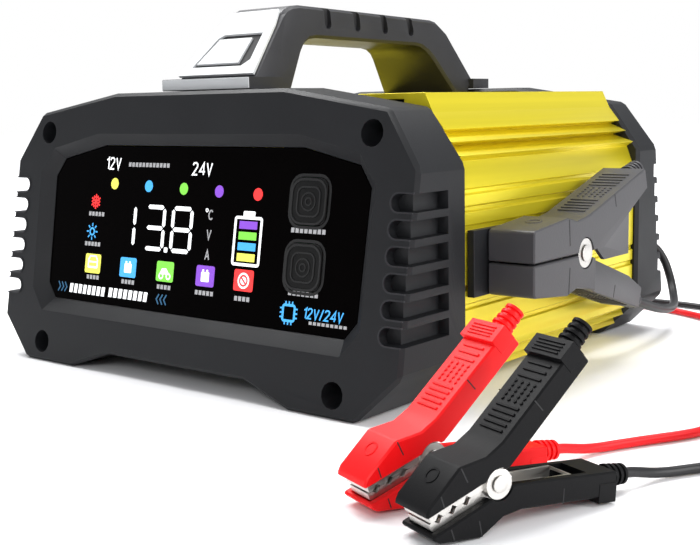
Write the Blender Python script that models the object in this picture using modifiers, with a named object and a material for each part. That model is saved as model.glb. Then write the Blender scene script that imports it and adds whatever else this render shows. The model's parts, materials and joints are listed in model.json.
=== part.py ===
"""Portable car battery charger: a ribbed aluminium body between two moulded end caps, a carrying
handle, a glass display panel with two push buttons, a fan, and three insulated spring clamps.

Metres, +Z up. The display faces -Y. The origin is on the floor under the middle of the body.
"""

import math

import bmesh
import bpy
from mathutils import Matrix, Vector

MM = 0.001
GAP = 0.3 * MM  # between pieces that touch

# Body
BODY_WIDTH = 220 * MM
BODY_DEPTH = 214.5 * MM
BODY_HEIGHT = 113.6 * MM
FRONT_LEAN = 0.1757  # how far the display face leans back, per unit of height
REAR_LEAN = 0.147
TOP_FLAT = 94 * MM  # width of the level top
TOP_FALL = 7.7 * MM  # height lost from the level top to each shoulder
SHOULDER_WIDTH = 14.5 * MM
SHOULDER_FALL = 27.9 * MM  # from the level top to the upright side
SIDE_FOOT = 17 * MM  # height where the upright side turns in to the foot
FOOT_INSET = 17.6 * MM
FOOT_WIDTH = 31 * MM
BELLY_RISE = 7.6 * MM  # height of the bottom edge between the feet
BELLY_SLOPE = 22.5 * MM

# End caps
FRONT_DEPTH = 43.7 * MM  # from the front foot to the rim that meets the body
REAR_DEPTH = 31.8 * MM
CAP_WALL = 3 * MM
CAP_FACE = 7 * MM
CAP_CHEEK = 7.5 * MM  # the thick side walls that the slots are cut in
CAP_EDGE = 1.4 * MM
SLOT_HEIGHT = 6.2 * MM
SLOT_PITCH = 8.83 * MM
SLOT_DEPTH = 4.4 * MM
SLOT_REACH = 10.3 * MM  # across the face
SLOT_RUN = 32 * MM  # back along the side, from the foot's front edge
SLOT_TOP = 11 * MM  # from the top of the upright side to the first slot's middle
SLOT_END = 10 * MM

# Window and display
WINDOW_TOP = 16.5 * MM
WINDOW_SIDE = 17.6 * MM
WINDOW_BOTTOM = 21.5 * MM
WINDOW_CHAMFER = 4.9 * MM
LENS_DEPTH = 4.8 * MM
LENS_THICK = 2 * MM
MODULE_SIZE = (104 * MM, 5 * MM, 46 * MM)
MODULE_LEFT = 20 * MM  # how far the module sits left of the middle
BOARD_THICK = 1.6 * MM
BUTTON_SIZE = 17 * MM
BUTTON_PROUD = 0.7 * MM
BUTTON_TRAVEL = 1.2 * MM
BUTTON_SIDE = 32.4 * MM  # from the window's side to the buttons' middle
BUTTON_PITCH = 23.4 * MM
BUTTON_RISE = 0.04  # of the window's height, above its middle
BUTTON_CLEARANCE = 0.4 * MM
SWITCH_SIZE = 6 * MM

# Extruded housing
HOUSING_WALL = 2.2 * MM
HOUSING_TOP_DROP = 2.6 * MM  # below the end caps' top
HOUSING_SIDE_STEP = 2 * MM  # inside the end caps' side
HOUSING_FLOOR = 4 * MM
RIB_DEPTH = 0.9 * MM
PORT_SIZE = 12 * MM  # solid corners that the long screws bite in
SCREW_RADIUS = 1.6 * MM
HEAD_RADIUS = 3.6 * MM
HEAD_THICK = 2.5 * MM
RECESS_RADIUS = 4.8 * MM
TOP_SCREW = (20.9 * MM, 16 * MM)  # from the body's side, and below its top
FOOT_SCREW = (28.2 * MM, 8.2 * MM)  # from the body's side, and above the floor
SCREW_BITE = 11 * MM

# Handle
HANDLE_TOP = 34.2 * MM  # above the body's top
HANDLE_GRIP = 13 * MM  # thickness of the grip
HANDLE_HALF = 15.4 * MM
HANDLE_FOOT_HALF = 22 * MM
HANDLE_FRONT_SET = 27.25 * MM  # from the body's front foot to the handle
HANDLE_REAR_SET = 24.75 * MM
HANDLE_RAKE_FRONT = 31.5 * MM  # how far the front leg leans back
HANDLE_RAKE_REAR = 23.1 * MM
HANDLE_LEG = 19 * MM  # the rear leg at its foot
HANDLE_FRONT_LEG = 24.7 * MM
HANDLE_FLANGE = 4.6 * MM  # height of the lip round each foot
HANDLE_FLANGE_HALF = 24.2 * MM
HANDLE_FLANGE_FRONT_SET = 25.75 * MM
HANDLE_FLANGE_REAR_SET = 18.65 * MM
HANDLE_CORNER = 7 * MM

# Fan
FAN_SIZE = 60 * MM
FAN_THICK = 15 * MM
FAN_HEIGHT = 60 * MM
FAN_BORE = 28.5 * MM
FAN_BLADE = 27 * MM
FAN_HUB = 12 * MM
FAN_BLADES = 7
FAN_BOLT = 50 * MM
PEG_RADIUS = 1.6 * MM  # the guard's corner pegs, which hold the fan

# Rear wall
INLET = (24 * MM, 12 * MM, 16 * MM)
INLET_PLACE = (-66 * MM, 40 * MM)
INLET_WALL = 3 * MM
GLAND_NECK = 4 * MM
GLAND_LENGTH = 14 * MM
GLANDS = {
    "red_gland": (62 * MM, 22 * MM),
    "black_gland": (44 * MM, 22 * MM),
    "parked_gland": (84 * MM, 36 * MM),
}

# Electronics
POWER_BOARD_DEPTH = 104 * MM
POWER_BOARD_SIDE = 6 * MM  # between the board's edge and the housing's side wall

# Clamp docks
PARK_Z = 50.5 * MM
DOCK_THICK = 2 * MM
DOCK_Y = -33 * MM
DOCK_SCREW_Y = 14 * MM
DOCK_REACH = 17.5 * MM  # how far the tongue stands out from its plate
TONGUE = 2.6 * MM
CHEEK_FRONT = -61 * MM  # the wall beside a parked clamp's nose
CHEEK_REAR = -27 * MM
CHEEK_HALF = 12 * MM

# Clamps: the loose pair stands on its lower halves, noses turned and tilted by these degrees
CLAMP_PLACES = {"black": (176.7 * MM, -159.7 * MM), "red": (151 * MM, -151.1 * MM)}
CLAMP_HEADING = -110
CLAMP_TILT = 18.5
PARKED_Y = -13.4 * MM
PARKED_OPENING = 16  # degrees that the parked clamp's upper half turns
PARKED_WIDTH = 19 * MM
PARKED_SIDE = 1.2 * MM  # between the parked clamp and its dock's plate
LEAD_RADIUS = 1.5 * MM
PARKED_LEAD_RADIUS = 2 * MM

# Coils of spare lead: stacked turns, lying just beyond the clamps
COIL_RADIUS = 17 * MM
COIL_HEIGHT = 13 * MM
COILS = {"red": (207 * MM, -22 * MM), "black": (222 * MM, -62 * MM)}

# Leads, in millimetres: from each clamp's boot to its coil, and from the coil to its gland
LEADS = {
    "black_lead": [
        (193.15, -114.5, 4.6),
        (194.5, -110.7, 4.2),
        (195.9, -106.6, 3.3),
        (197.6, -102.2, 2.3),
        (200.2, -97.2, 1.7),
        (203.6, -91.6, 1.6),
        (207.6, -86, 1.6),
        (212.4, -81.4, 1.7),
    ],
    "black_lead_tail": [
        (239.4, -49.6, 10.2),
        (240, -42, 8),
        (240.2, -33, 5),
        (239.8, -22, 2.4),
        (238.4, -8, 1.6),
        (235, 14, 1.6),
        (228.6, 40, 1.6),
        (218, 68, 1.6),
        (202.6, 95, 1.6),
        (182, 119, 1.6),
        (157, 139, 1.6),
        (128, 153, 1.6),
        (98, 160, 1.6),
        (74, 160.5, 1.8),
        (58.6, 157, 4),
        (49.4, 150, 10),
        (45.4, 141, 18),
        (44.2, 131, 23.4),
        (44, 121.6, 24.6),
        (44, 118.3, 24.1),
    ],
    "red_lead": [
        (167.45, -105.9, 4.6),
        (168.7, -102.2, 4.2),
        (170, -97.9, 3.3),
        (171.5, -93, 2.3),
        (173.6, -87.4, 1.7),
        (177, -80.6, 1.6),
        (182.4, -71, 1.6),
        (188, -61.6, 1.6),
        (191.6, -53.4, 1.6),
        (192.4, -44.6, 1.6),
        (191.2, -34.4, 1.6),
    ],
    "red_lead_tail": [
        (190, -9.4, 10.4),
        (190, -2, 8.4),
        (189.6, 6, 5.4),
        (188.4, 16, 2.8),
        (186, 28, 1.6),
        (181.6, 44, 1.6),
        (175, 62, 1.6),
        (165.6, 82, 1.6),
        (152.6, 102, 1.6),
        (137, 119.6, 1.6),
        (118.6, 132.6, 1.6),
        (101, 141, 1.6),
        (86, 145.4, 1.8),
        (75, 146, 4.6),
        (67.4, 142, 12),
        (63.4, 134, 19.4),
        (62.2, 126, 23.8),
        (62, 118.3, 24.1),
    ],
    "parked_lead": [
        (121, 48.6, 22.7),
        (121, 56, 20.4),
        (120.6, 66, 17.4),
        (119.6, 78, 14.4),
        (117.6, 91, 12),
        (114.6, 104, 10.4),
        (110.8, 116, 9.6),
        (106.6, 126, 10.6),
        (102.6, 133.5, 14),
        (99.2, 137.5, 20),
        (96, 138.4, 27),
        (92.5, 136.5, 33),
        (88.6, 131.6, 37),
        (85.4, 125, 38.9),
        (84, 116.1, 38.1),
    ],
}

for old in list(bpy.data.objects):
    bpy.data.objects.remove(old)

model = bpy.data.collections.new("battery_charger")
cutters = bpy.data.collections.new("cutters")
bpy.context.scene.collection.children.link(model)
bpy.context.scene.collection.children.link(cutters)

HALF = BODY_WIDTH / 2
FRONT_Y = -BODY_DEPTH / 2
REAR_Y = BODY_DEPTH / 2
FRONT_RIM = FRONT_Y + FRONT_DEPTH
REAR_RIM = REAR_Y - REAR_DEPTH
HOUSING_TOP = BODY_HEIGHT - HOUSING_TOP_DROP
HOUSING_HALF = HALF - HOUSING_SIDE_STEP
SIDE_TOP = BODY_HEIGHT - SHOULDER_FALL


# ---------------------------------------------------------------- materials
def material(name, colour, roughness, metallic=0.0):
    made = bpy.data.materials.new(name)
    made.use_nodes = True
    shader = made.node_tree.nodes["Principled BSDF"]
    shader.inputs["Base Color"].default_value = (*colour, 1)
    shader.inputs["Roughness"].default_value = roughness
    shader.inputs["Metallic"].default_value = metallic
    made.diffuse_color = (*colour, 1)
    return made


CHARCOAL = ((0.035, 0.035, 0.04), 0.45)
YELLOW = ((0.85, 0.72, 0.03), 0.3, 1.0)
GLOSS = ((0.004, 0.003, 0.003), 0.08)
KEY = ((0.02, 0.02, 0.02), 0.25)
BOARD = ((0.02, 0.16, 0.06), 0.5)
CHIP = ((0.02, 0.02, 0.02), 0.4)
STEEL = ((0.6, 0.6, 0.6), 0.3, 1.0)
SILVER = ((0.7, 0.69, 0.67), 0.25, 1.0)
ALUMINIUM = ((0.75, 0.75, 0.77), 0.35, 1.0)
RUBBER = ((0.02, 0.02, 0.02), 0.75)
RED = ((0.8, 0.02, 0.02), 0.4)
BLACK = ((0.012, 0.012, 0.012), 0.4)
COPPER = ((0.5, 0.2, 0.06), 0.4, 1.0)
COLOURS = {"red": RED, "black": BLACK, "parked": CHARCOAL}


# ---------------------------------------------------------------- tools
def front_y(z):
    return FRONT_Y + FRONT_LEAN * z


def rear_y(z):
    return REAR_Y - REAR_LEAN * z


def panel_frame(x, z):
    """Local +Y into the body, square to the display face, and +Z up along it."""
    return Matrix.Translation((x, front_y(z), z)) @ Matrix.Rotation(-math.atan(FRONT_LEAN), 4, "X")


def back_frame(x, z):
    """Local +Y out of the body, square to the rear wall, and +Z up along it."""
    return Matrix.Translation((x, rear_y(z), z)) @ Matrix.Rotation(math.atan(REAR_LEAN), 4, "X")


def offset_polygon(points, distance):
    """Moves each side of a counterclockwise outline inwards by distance."""
    moved = []
    for i, here in enumerate(points):
        here, before, after = Vector(here), Vector(points[i - 1]), Vector(points[(i + 1) % len(points)])
        a, b = (here - before).normalized(), (after - here).normalized()
        normal_a, normal_b = Vector((-a.y, a.x)), Vector((-b.y, b.x))
        moved.append(here + (normal_a + normal_b) * distance / (1 + normal_a.dot(normal_b)))
    return [tuple(p) for p in moved]


def rounded(points, radius, steps=3):
    """Rounds the corners of an outline: radius is one number, or one for each corner."""
    radii = radius if isinstance(radius, (list, tuple)) else [radius] * len(points)
    result = []
    for i, here in enumerate(points):
        here, before, after = Vector(here), Vector(points[i - 1]), Vector(points[(i + 1) % len(points)])
        a, b = (before - here), (after - here)
        cut = min(radii[i], 0.45 * a.length, 0.45 * b.length)
        if cut <= 0:
            result.append(tuple(here))
            continue
        start, end = here + a.normalized() * cut, here + b.normalized() * cut
        for k in range(steps + 1):
            t = k / steps
            result.append(tuple(start * (1 - t) ** 2 + here * 2 * t * (1 - t) + end * t * t))
    return result


def prism(outline, front, back):
    """An outline in X and Z, run along Y. Each end is (y, lean): y plus lean times the height."""
    bm = bmesh.new()
    face = bm.faces.new([bm.verts.new((x, 0, z)) for x, z in outline])
    made = bmesh.ops.extrude_face_region(bm, geom=[face])
    far = [v for v in made["geom"] if isinstance(v, bmesh.types.BMVert)]
    for v in bm.verts:
        y, lean = back if v in far else front
        v.co.y = y + lean * v.co.z
    bmesh.ops.recalc_face_normals(bm, faces=bm.faces)
    return bm


def frustum(outline, inner, front, back):
    """A loft from an outline at the front to an inner one, of as many points, at the back."""
    bm = prism(outline, front, back)
    for v in bm.verts:
        i = min(range(len(outline)), key=lambda k: (Vector(outline[k]) - v.co.xz).length)
        if abs(v.co.y - back[0] - back[1] * v.co.z) < 1e-6:
            v.co.x, v.co.z = inner[i]
            v.co.y = back[0] + back[1] * v.co.z
    return bm


def cube(size, at=(0, 0, 0), turn=0.0):
    bm = bmesh.new()
    spin = Matrix.Rotation(turn, 4, "Y")
    bmesh.ops.create_cube(bm, size=1, matrix=Matrix.Translation(at) @ spin @ Matrix.Diagonal((*size, 1)))
    return bm


def rod(radius, start, end, segments=14, end_radius=None):
    bm = bmesh.new()
    start, end = Vector(start), Vector(end)
    turn = (end - start).to_track_quat("Z", "Y").to_matrix().to_4x4()
    bmesh.ops.create_cone(
        bm,
        cap_ends=True,
        segments=segments,
        radius1=radius,
        radius2=radius if end_radius is None else end_radius,
        depth=(end - start).length,
        matrix=Matrix.Translation((start + end) / 2) @ turn,
    )
    return bm


def add(name, bm, look, frame=None, collection=None):
    mesh = bpy.data.meshes.new(name)
    bm.to_mesh(mesh)
    bm.free()
    made = bpy.data.objects.new(name, mesh)
    (collection or model).objects.link(made)
    if look:
        made.data.materials.append(material(name, *look))
    if frame is not None:
        made.matrix_world = frame
    return made


def chamfer(target, width, angle=40, segments=1):
    edge = target.modifiers.new("edges", "BEVEL")
    edge.width = width
    edge.segments = segments
    edge.limit_method = "ANGLE"
    edge.angle_limit = math.radians(angle)


def boolean(target, bm, operation, frame=None):
    tool = add(f"{target.name}_{operation.lower()}", bm, None, frame, cutters)
    tool.hide_render = True
    tool.display_type = "WIRE"
    step = target.modifiers.new(operation.lower(), "BOOLEAN")
    step.operation = operation
    step.object = tool
    return tool


def cut(target, *parts, frame=None):
    for part in parts:
        boolean(target, part, "DIFFERENCE", frame)


def join(target, *parts, frame=None):
    for part in parts:
        boolean(target, part, "UNION", frame)


def smooth(target, angle=35):
    target.data.shade_smooth()
    target.data.set_sharp_from_angle(angle=math.radians(angle))


def mirrored(half):
    """A closed outline from its right half, listed from the bottom middle to the top middle."""
    return list(half) + [(-x, z) for x, z in reversed(half) if x > 1e-9]


# ---------------------------------------------------------------- shared outlines
def body_outline():
    foot_out = HALF - FOOT_INSET
    foot_in = foot_out - FOOT_WIDTH
    return mirrored(
        [
            (foot_in - BELLY_SLOPE, BELLY_RISE),
            (foot_in, 0),
            (foot_out, 0),
            (HALF, SIDE_FOOT),
            (HALF, SIDE_TOP),
            (HALF - SHOULDER_WIDTH, BODY_HEIGHT - TOP_FALL),
            (TOP_FLAT / 2, BODY_HEIGHT),
        ]
    )


def cap_hollow():
    """The space inside an end cap: a thin top and bottom, and thick cheeks."""
    side = HALF - CAP_CHEEK
    return mirrored(
        [
            (TOP_FLAT / 2, BELLY_RISE + CAP_WALL),
            (side - FOOT_INSET, BELLY_RISE + CAP_WALL),
            (side, SIDE_FOOT + CAP_WALL),
            (side, SIDE_TOP - CAP_WALL),
            (HALF - SHOULDER_WIDTH - CAP_WALL, BODY_HEIGHT - TOP_FALL - CAP_WALL),
            (TOP_FLAT / 2, BODY_HEIGHT - CAP_WALL),
        ]
    )


def window_outline():
    side = HALF - WINDOW_SIDE
    top = BODY_HEIGHT - WINDOW_TOP
    return mirrored(
        [
            (side - 8.8 * MM, WINDOW_BOTTOM),
            (side - 1.1 * MM, WINDOW_BOTTOM + 9.3 * MM),
            (side, top - 16.8 * MM),
            (side - 7.7 * MM, top - 6.3 * MM),
            (side - 36.3 * MM, top),
        ]
    )


def screw_places():
    """The long screws' axes, in X and Z."""
    top, foot = (HALF - TOP_SCREW[0], BODY_HEIGHT - TOP_SCREW[1]), (HALF - FOOT_SCREW[0], FOOT_SCREW[1])
    return [(s * x, z) for x, z in (top, foot) for s in (1, -1)]


def slot_heights():
    room = SIDE_TOP - SIDE_FOOT - 2 * SLOT_END
    return [SIDE_TOP - SLOT_TOP - SLOT_PITCH * i for i in range(int(room / SLOT_PITCH) + 1)]


# ---------------------------------------------------------------- end caps
def finish_cap(cap, face, rim, outward):
    """The screw bosses and recesses that both caps share; outward is the cap's side in Y."""
    for x, z in screw_places():
        boss = PORT_SIZE if z > BODY_HEIGHT / 2 else PORT_SIZE - 1 * MM
        deep = rim + outward * (HEAD_THICK + 10 * MM)
        middle = (face(z) + rim) / 2
        length = abs(face(z) - rim) - 4 * MM
        join(cap, cube((boss, length, boss), (x, middle - outward * 2 * MM, max(z, boss / 2 + 1 * MM))))
        cut(
            cap,
            rod(RECESS_RADIUS, (x, deep, z), (x, face(z) + outward * 8 * MM, z)),
            rod(SCREW_RADIUS + GAP, (x, rim - outward * 2 * MM, z), (x, deep + outward * 1 * MM, z)),
        )


def front_bezel():
    bezel = add("front_bezel", prism(body_outline(), (FRONT_Y, FRONT_LEAN), (FRONT_RIM, 0)), CHARCOAL)
    chamfer(bezel, CAP_EDGE, 35)
    cut(bezel, prism(cap_hollow(), (FRONT_Y + CAP_FACE, FRONT_LEAN), (FRONT_RIM + 5 * MM, 0)))
    outer = window_outline()
    inner = offset_polygon(outer, WINDOW_CHAMFER)
    ahead = offset_polygon(outer, -1 * MM)
    cut(
        bezel,
        frustum(ahead, inner, (FRONT_Y - 1 * MM, FRONT_LEAN), (FRONT_Y + WINDOW_CHAMFER, FRONT_LEAN)),
        prism(inner, (FRONT_Y + 2 * MM, FRONT_LEAN), (FRONT_Y + 12 * MM, FRONT_LEAN)),
    )
    for z in slot_heights():
        for side in (1, -1):
            face = side * (HALF - SLOT_REACH / 2 + 1 * MM)
            cheek = side * (HALF - SLOT_DEPTH / 2 + 1 * MM)
            start = front_y(z) - 3 * MM
            end = FRONT_Y + SLOT_RUN
            cut(
                bezel,
                cube((SLOT_REACH + 2 * MM, 2 * (SLOT_DEPTH + 3 * MM), SLOT_HEIGHT), (face, start, z)),
                cube((SLOT_DEPTH + 2 * MM, end - start, SLOT_HEIGHT), (cheek, (start + end) / 2, z)),
            )
    finish_cap(bezel, front_y, FRONT_RIM, -1)


def rear_cap():
    cap = add("rear_cap", prism(body_outline(), (REAR_RIM, 0), (REAR_Y, -REAR_LEAN)), CHARCOAL)
    chamfer(cap, CAP_EDGE, 35)
    cut(cap, prism(cap_hollow(), (REAR_RIM - 5 * MM, 0), (REAR_Y - CAP_WALL, -REAR_LEAN)))
    for z in slot_heights():
        for side in (1, -1):
            face = side * (HALF - SLOT_REACH / 2 + 1 * MM)
            depth = 2 * (SLOT_DEPTH + 3 * MM)
            cut(cap, cube((SLOT_REACH + 2 * MM, depth, SLOT_HEIGHT), (face, rear_y(z) + 3 * MM, z)))
    finish_cap(cap, rear_y, REAR_RIM, 1)
    fan_hole = rod(FAN_BORE - 1 * MM, (0, -6 * MM, 0), (0, 4 * MM, 0), 24)
    cut(cap, fan_hole, frame=back_frame(0, FAN_HEIGHT))
    for x, z in fan_bolts():
        cut(cap, rod(PEG_RADIUS + GAP, (x, -6 * MM, z), (x, 4 * MM, z), 10), frame=back_frame(0, FAN_HEIGHT))
    cut(cap, cube((INLET[0] + 2 * GAP, 20 * MM, INLET[2] + 2 * GAP)), frame=back_frame(*INLET_PLACE))
    for place in GLANDS.values():
        cut(cap, rod(GLAND_NECK + GAP, (0, -6 * MM, 0), (0, 4 * MM, 0), 12), frame=back_frame(*place))


def long_screws(name, rim, outward):
    """The head sits at the bottom of its recess, and the shank bites in the housing's corner."""
    for number, (x, z) in enumerate(screw_places(), 1):
        seat = rim + outward * (HEAD_THICK + 10 * MM + GAP)
        tip = rim - outward * SCREW_BITE
        smooth(add(f"{name}_{number}", screw((x, tip, z), (x, seat, z), outward), STEEL))


def screw(tip, seat, outward):
    """A shank along Y with a domed head, turned as one profile around the screw's axis."""
    x, _, z = seat
    length = abs(seat[1] - tip[1])
    profile = [
        (0, length + HEAD_THICK),
        (HEAD_RADIUS * 0.7, length + HEAD_THICK),
        (HEAD_RADIUS, length + HEAD_THICK * 0.6),
        (HEAD_RADIUS, length),
        (SCREW_RADIUS, length),
        (SCREW_RADIUS, 0),
        (0, 0),
    ]
    return turned(profile, (x, tip[1], z), (0, outward, 0), 12)


def turned(profile, base, axis, segments):
    """A solid of revolution: profile is (radius, height along the axis), from the top's middle down."""
    bm = bmesh.new()
    points = [bm.verts.new((r, 0, h)) for r, h in profile]
    edges = [bm.edges.new(pair) for pair in zip(points, points[1:])]
    bmesh.ops.spin(bm, geom=points + edges, axis=(0, 0, 1), cent=(0, 0, 0), angle=2 * math.pi, steps=segments)
    bmesh.ops.remove_doubles(bm, verts=bm.verts, dist=1e-6)
    bmesh.ops.recalc_face_normals(bm, faces=bm.faces)
    turn = Vector(axis).to_track_quat("Z", "Y").to_matrix().to_4x4()
    bmesh.ops.transform(bm, matrix=Matrix.Translation(base) @ turn, verts=bm.verts)
    return bm


# ---------------------------------------------------------------- housing
def housing_outline():
    """The extrusion's outside: ridges at the shoulders and feet, and ribs along the sides."""
    half, top, low = HOUSING_HALF, HOUSING_TOP, HOUSING_FLOOR
    shoulder = [
        (half - 3.5 * MM, 24.3 * MM),
        (half - 0.5 * MM, 22.3 * MM),
        (half - 10.5 * MM, 19 * MM),
        (half - 4 * MM, 17.5 * MM),
        (half - 11.6 * MM, 14.2 * MM),
        (half - 7.4 * MM, 13.1 * MM),
        (half - 12.3 * MM, 7 * MM),
        (half - 15.6 * MM, 0),
    ]
    ribs = []
    span = SIDE_TOP - SIDE_FOOT
    for share in (0.12, 0.26, 0.36, 0.67, 0.77, 0.86):
        z = SIDE_FOOT + share * span
        ribs += [
            (half, z - 1.2 * MM),
            (half - RIB_DEPTH, z - 0.7 * MM),
            (half - RIB_DEPTH, z + 0.7 * MM),
            (half, z + 1.2 * MM),
        ]
    foot = [
        (half - 16 * MM, low),
        (half - 8 * MM, low + 2 * MM),
        (half - 9 * MM, low + 4.4 * MM),
        (half - 4 * MM, low + 6.6 * MM),
        (half - 5 * MM, low + 9 * MM),
        (half - 0.3 * MM, low + 11.4 * MM),
        (half, low + 14 * MM),
    ]
    return mirrored(foot + ribs + [(x, top - drop) for x, drop in shoulder])


def housing_hollow():
    """The extrusion's inside, which leaves the four corners solid for the long screws."""
    side = HOUSING_HALF - HOUSING_WALL - RIB_DEPTH
    top_x, top_z = HALF - TOP_SCREW[0] - PORT_SIZE / 2, BODY_HEIGHT - TOP_SCREW[1] - PORT_SIZE / 2
    foot_x, foot_z = HALF - FOOT_SCREW[0] - PORT_SIZE / 2, FOOT_SCREW[1] + PORT_SIZE / 2
    return mirrored(
        [
            (foot_x, HOUSING_FLOOR + HOUSING_WALL),
            (foot_x, foot_z),
            (side - POWER_BOARD_SIDE, foot_z),
            (side, foot_z + 7 * MM),
            (side, top_z - 16 * MM),
            (side - 8 * MM, top_z),
            (top_x, top_z),
            (top_x, HOUSING_TOP - HOUSING_WALL),
        ]
    )


def housing():
    ends = (FRONT_RIM + GAP, 0), (REAR_RIM - GAP, 0)
    shell = add("housing", prism(housing_outline(), *ends), YELLOW)
    cut(shell, prism(housing_hollow(), (FRONT_RIM - 5 * MM, 0), (REAR_RIM + 5 * MM, 0)))
    for x, z in screw_places():
        cut(shell, rod(SCREW_RADIUS + GAP, (x, FRONT_RIM - 5 * MM, z), (x, REAR_RIM + 5 * MM, z), 12))
    for x, y in handle_screw_places():
        cut(shell, rod(SCREW_RADIUS + GAP, (x, y, HOUSING_TOP - 8 * MM), (x, y, HOUSING_TOP + 4 * MM), 10))
    for side in (1, -1):
        y = DOCK_SCREW_Y
        ends = (side * (HOUSING_HALF - 8 * MM), y, PARK_Z), (side * (HOUSING_HALF + 3 * MM), y, PARK_Z)
        cut(shell, rod(SCREW_RADIUS + GAP, *ends, 10))


# ---------------------------------------------------------------- display
def lens_outline(shrink=0.0):
    return offset_polygon(window_outline(), WINDOW_CHAMFER + GAP + shrink)


def button_places():
    x = HALF - WINDOW_SIDE - BUTTON_SIDE
    middle = panel_middle() + BUTTON_RISE * (BODY_HEIGHT - WINDOW_TOP - WINDOW_BOTTOM)
    return {"current_button": (x, middle + BUTTON_PITCH / 2), "function_button": (x, middle - BUTTON_PITCH / 2)}


def display_lens():
    front = (FRONT_Y + LENS_DEPTH, FRONT_LEAN)
    lens = add("display_lens", prism(lens_outline(), front, (front[0] + LENS_THICK, FRONT_LEAN)), GLOSS)
    hole = BUTTON_SIZE + 2 * BUTTON_CLEARANCE
    for x, z in button_places().values():
        cut(lens, cube((hole, 20 * MM, hole)), frame=panel_frame(x, z))


def panel_middle():
    return (WINDOW_BOTTOM + BODY_HEIGHT - WINDOW_TOP) / 2


def panel_layers():
    """Depths square to the face: the lens's back, the module's back, and the board's back."""
    lens_back = (LENS_DEPTH + LENS_THICK) * math.cos(math.atan(FRONT_LEAN))
    module_back = lens_back + GAP + MODULE_SIZE[1]
    return lens_back, module_back, module_back + GAP + BOARD_THICK


def display_stack():
    """The segment display behind the glass, and its board with a switch behind each button."""
    lens_back, module_back, board_back = panel_layers()
    frame = panel_frame(0, panel_middle())
    module = cube(MODULE_SIZE, (-MODULE_LEFT, lens_back + GAP + MODULE_SIZE[1] / 2, 0))
    add("display_module", module, CHIP, frame)
    wide = 2 * (HALF - WINDOW_SIDE - WINDOW_CHAMFER) - 24 * MM
    tall = BODY_HEIGHT - WINDOW_TOP - WINDOW_BOTTOM - 20 * MM
    plate = cube((wide, BOARD_THICK, tall), (0, board_back - BOARD_THICK / 2, 0))
    board = add("display_board", plate, BOARD, frame)
    for x, z in button_places().values():
        up = (z - panel_middle()) / math.cos(math.atan(FRONT_LEAN))
        deep = MODULE_SIZE[1] - GAP - BUTTON_TRAVEL + 1 * MM
        join(board, cube((SWITCH_SIZE, deep, SWITCH_SIZE), (x, module_back - deep / 2 + 1 * MM, up)), frame=frame)


def buttons():
    """Each cap stands just proud of the glass and slides in, square to the face."""
    lens_back = panel_layers()[0]
    switch_face = panel_layers()[1] - (MODULE_SIZE[1] - GAP - BUTTON_TRAVEL)
    for name, (x, z) in button_places().items():
        front = LENS_DEPTH * math.cos(math.atan(FRONT_LEAN)) - BUTTON_PROUD
        corner = BUTTON_SIZE / 2
        square = [(-corner, -corner), (corner, -corner), (corner, corner), (-corner, corner)]
        back = lens_back - 0.2 * MM
        cap = add(name, prism(rounded(square, 4 * MM), (front, 0), (back, 0)), KEY, panel_frame(x, z))
        stem = switch_face - BUTTON_TRAVEL - GAP
        join(cap, rod(2.5 * MM, (0, back - 1 * MM, 0), (0, stem, 0), 12), frame=panel_frame(x, z))


# ---------------------------------------------------------------- handle
def handle_screw_places():
    front, rear = FRONT_RIM + 6 * MM, REAR_RIM - 6 * MM
    return [(0, front), (0, rear)]


def handle():
    """An arch along Y that is wider at its feet; each foot straddles a cap's rim and the housing."""
    base, top = BODY_HEIGHT + GAP, BODY_HEIGHT + HANDLE_TOP
    low = HOUSING_TOP + GAP
    step_front, step_rear = FRONT_RIM + 2 * GAP, REAR_RIM - 2 * GAP
    under = top - HANDLE_GRIP
    outer_front, outer_rear = FRONT_Y + HANDLE_FRONT_SET, REAR_Y - HANDLE_REAR_SET
    inner_front, inner_rear = outer_front + HANDLE_FRONT_LEG, outer_rear - HANDLE_LEG
    side = [
        (outer_front, base),
        (step_front, base),
        (step_front, low),
        (inner_front, low),
        (inner_front + HANDLE_RAKE_FRONT * 0.5, under),
        (inner_rear - HANDLE_RAKE_REAR * 0.8, under - 1.2 * MM),
        (inner_rear, low),
        (step_rear, low),
        (step_rear, base),
        (outer_rear, base),
        (outer_rear - HANDLE_RAKE_REAR, top - 2.2 * MM),
        (outer_front + HANDLE_RAKE_FRONT, top),
    ]
    corner = HANDLE_CORNER
    outline = rounded(side, [0, 0, 0, 0, corner, corner, 0, 0, 0, 0, corner, corner])
    bm = prism(outline, (-1, 0), (1, 0))
    for v in bm.verts:
        share = min(1, max(0, (v.co.z - base) / (top - HANDLE_CORNER - base)))
        half = HANDLE_FOOT_HALF + (HANDLE_HALF - HANDLE_FOOT_HALF) * share
        v.co = Vector((half * v.co.y, v.co.x, v.co.z))
    bmesh.ops.recalc_face_normals(bm, faces=bm.faces)
    grip = add("handle", bm, CHARCOAL)
    chamfer(grip, 1.8 * MM, 50)
    lip_front, lip_rear = FRONT_Y + HANDLE_FLANGE_FRONT_SET, REAR_Y - HANDLE_FLANGE_REAR_SET
    for front, rear in ((lip_front, step_front), (step_rear, lip_rear)):
        lip = (2 * HANDLE_FLANGE_HALF, rear - front, HANDLE_FLANGE)
        join(grip, cube(lip, (0, (front + rear) / 2, base + HANDLE_FLANGE / 2)))
    for x, y in handle_screw_places():
        cut(grip, rod(SCREW_RADIUS + GAP, (x, y, HOUSING_TOP - 4 * MM), (x, y, HOUSING_TOP + 9 * MM), 10))


def handle_screws():
    seat = HOUSING_TOP - HOUSING_WALL - GAP
    length = HOUSING_WALL + 8 * MM
    for number, (x, y) in enumerate(handle_screw_places(), 1):
        name = f"handle_screw_{number}"
        smooth(add(name, turned(wall_screw(length), (x, y, seat), (0, 0, 1), 12), STEEL))


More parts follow.
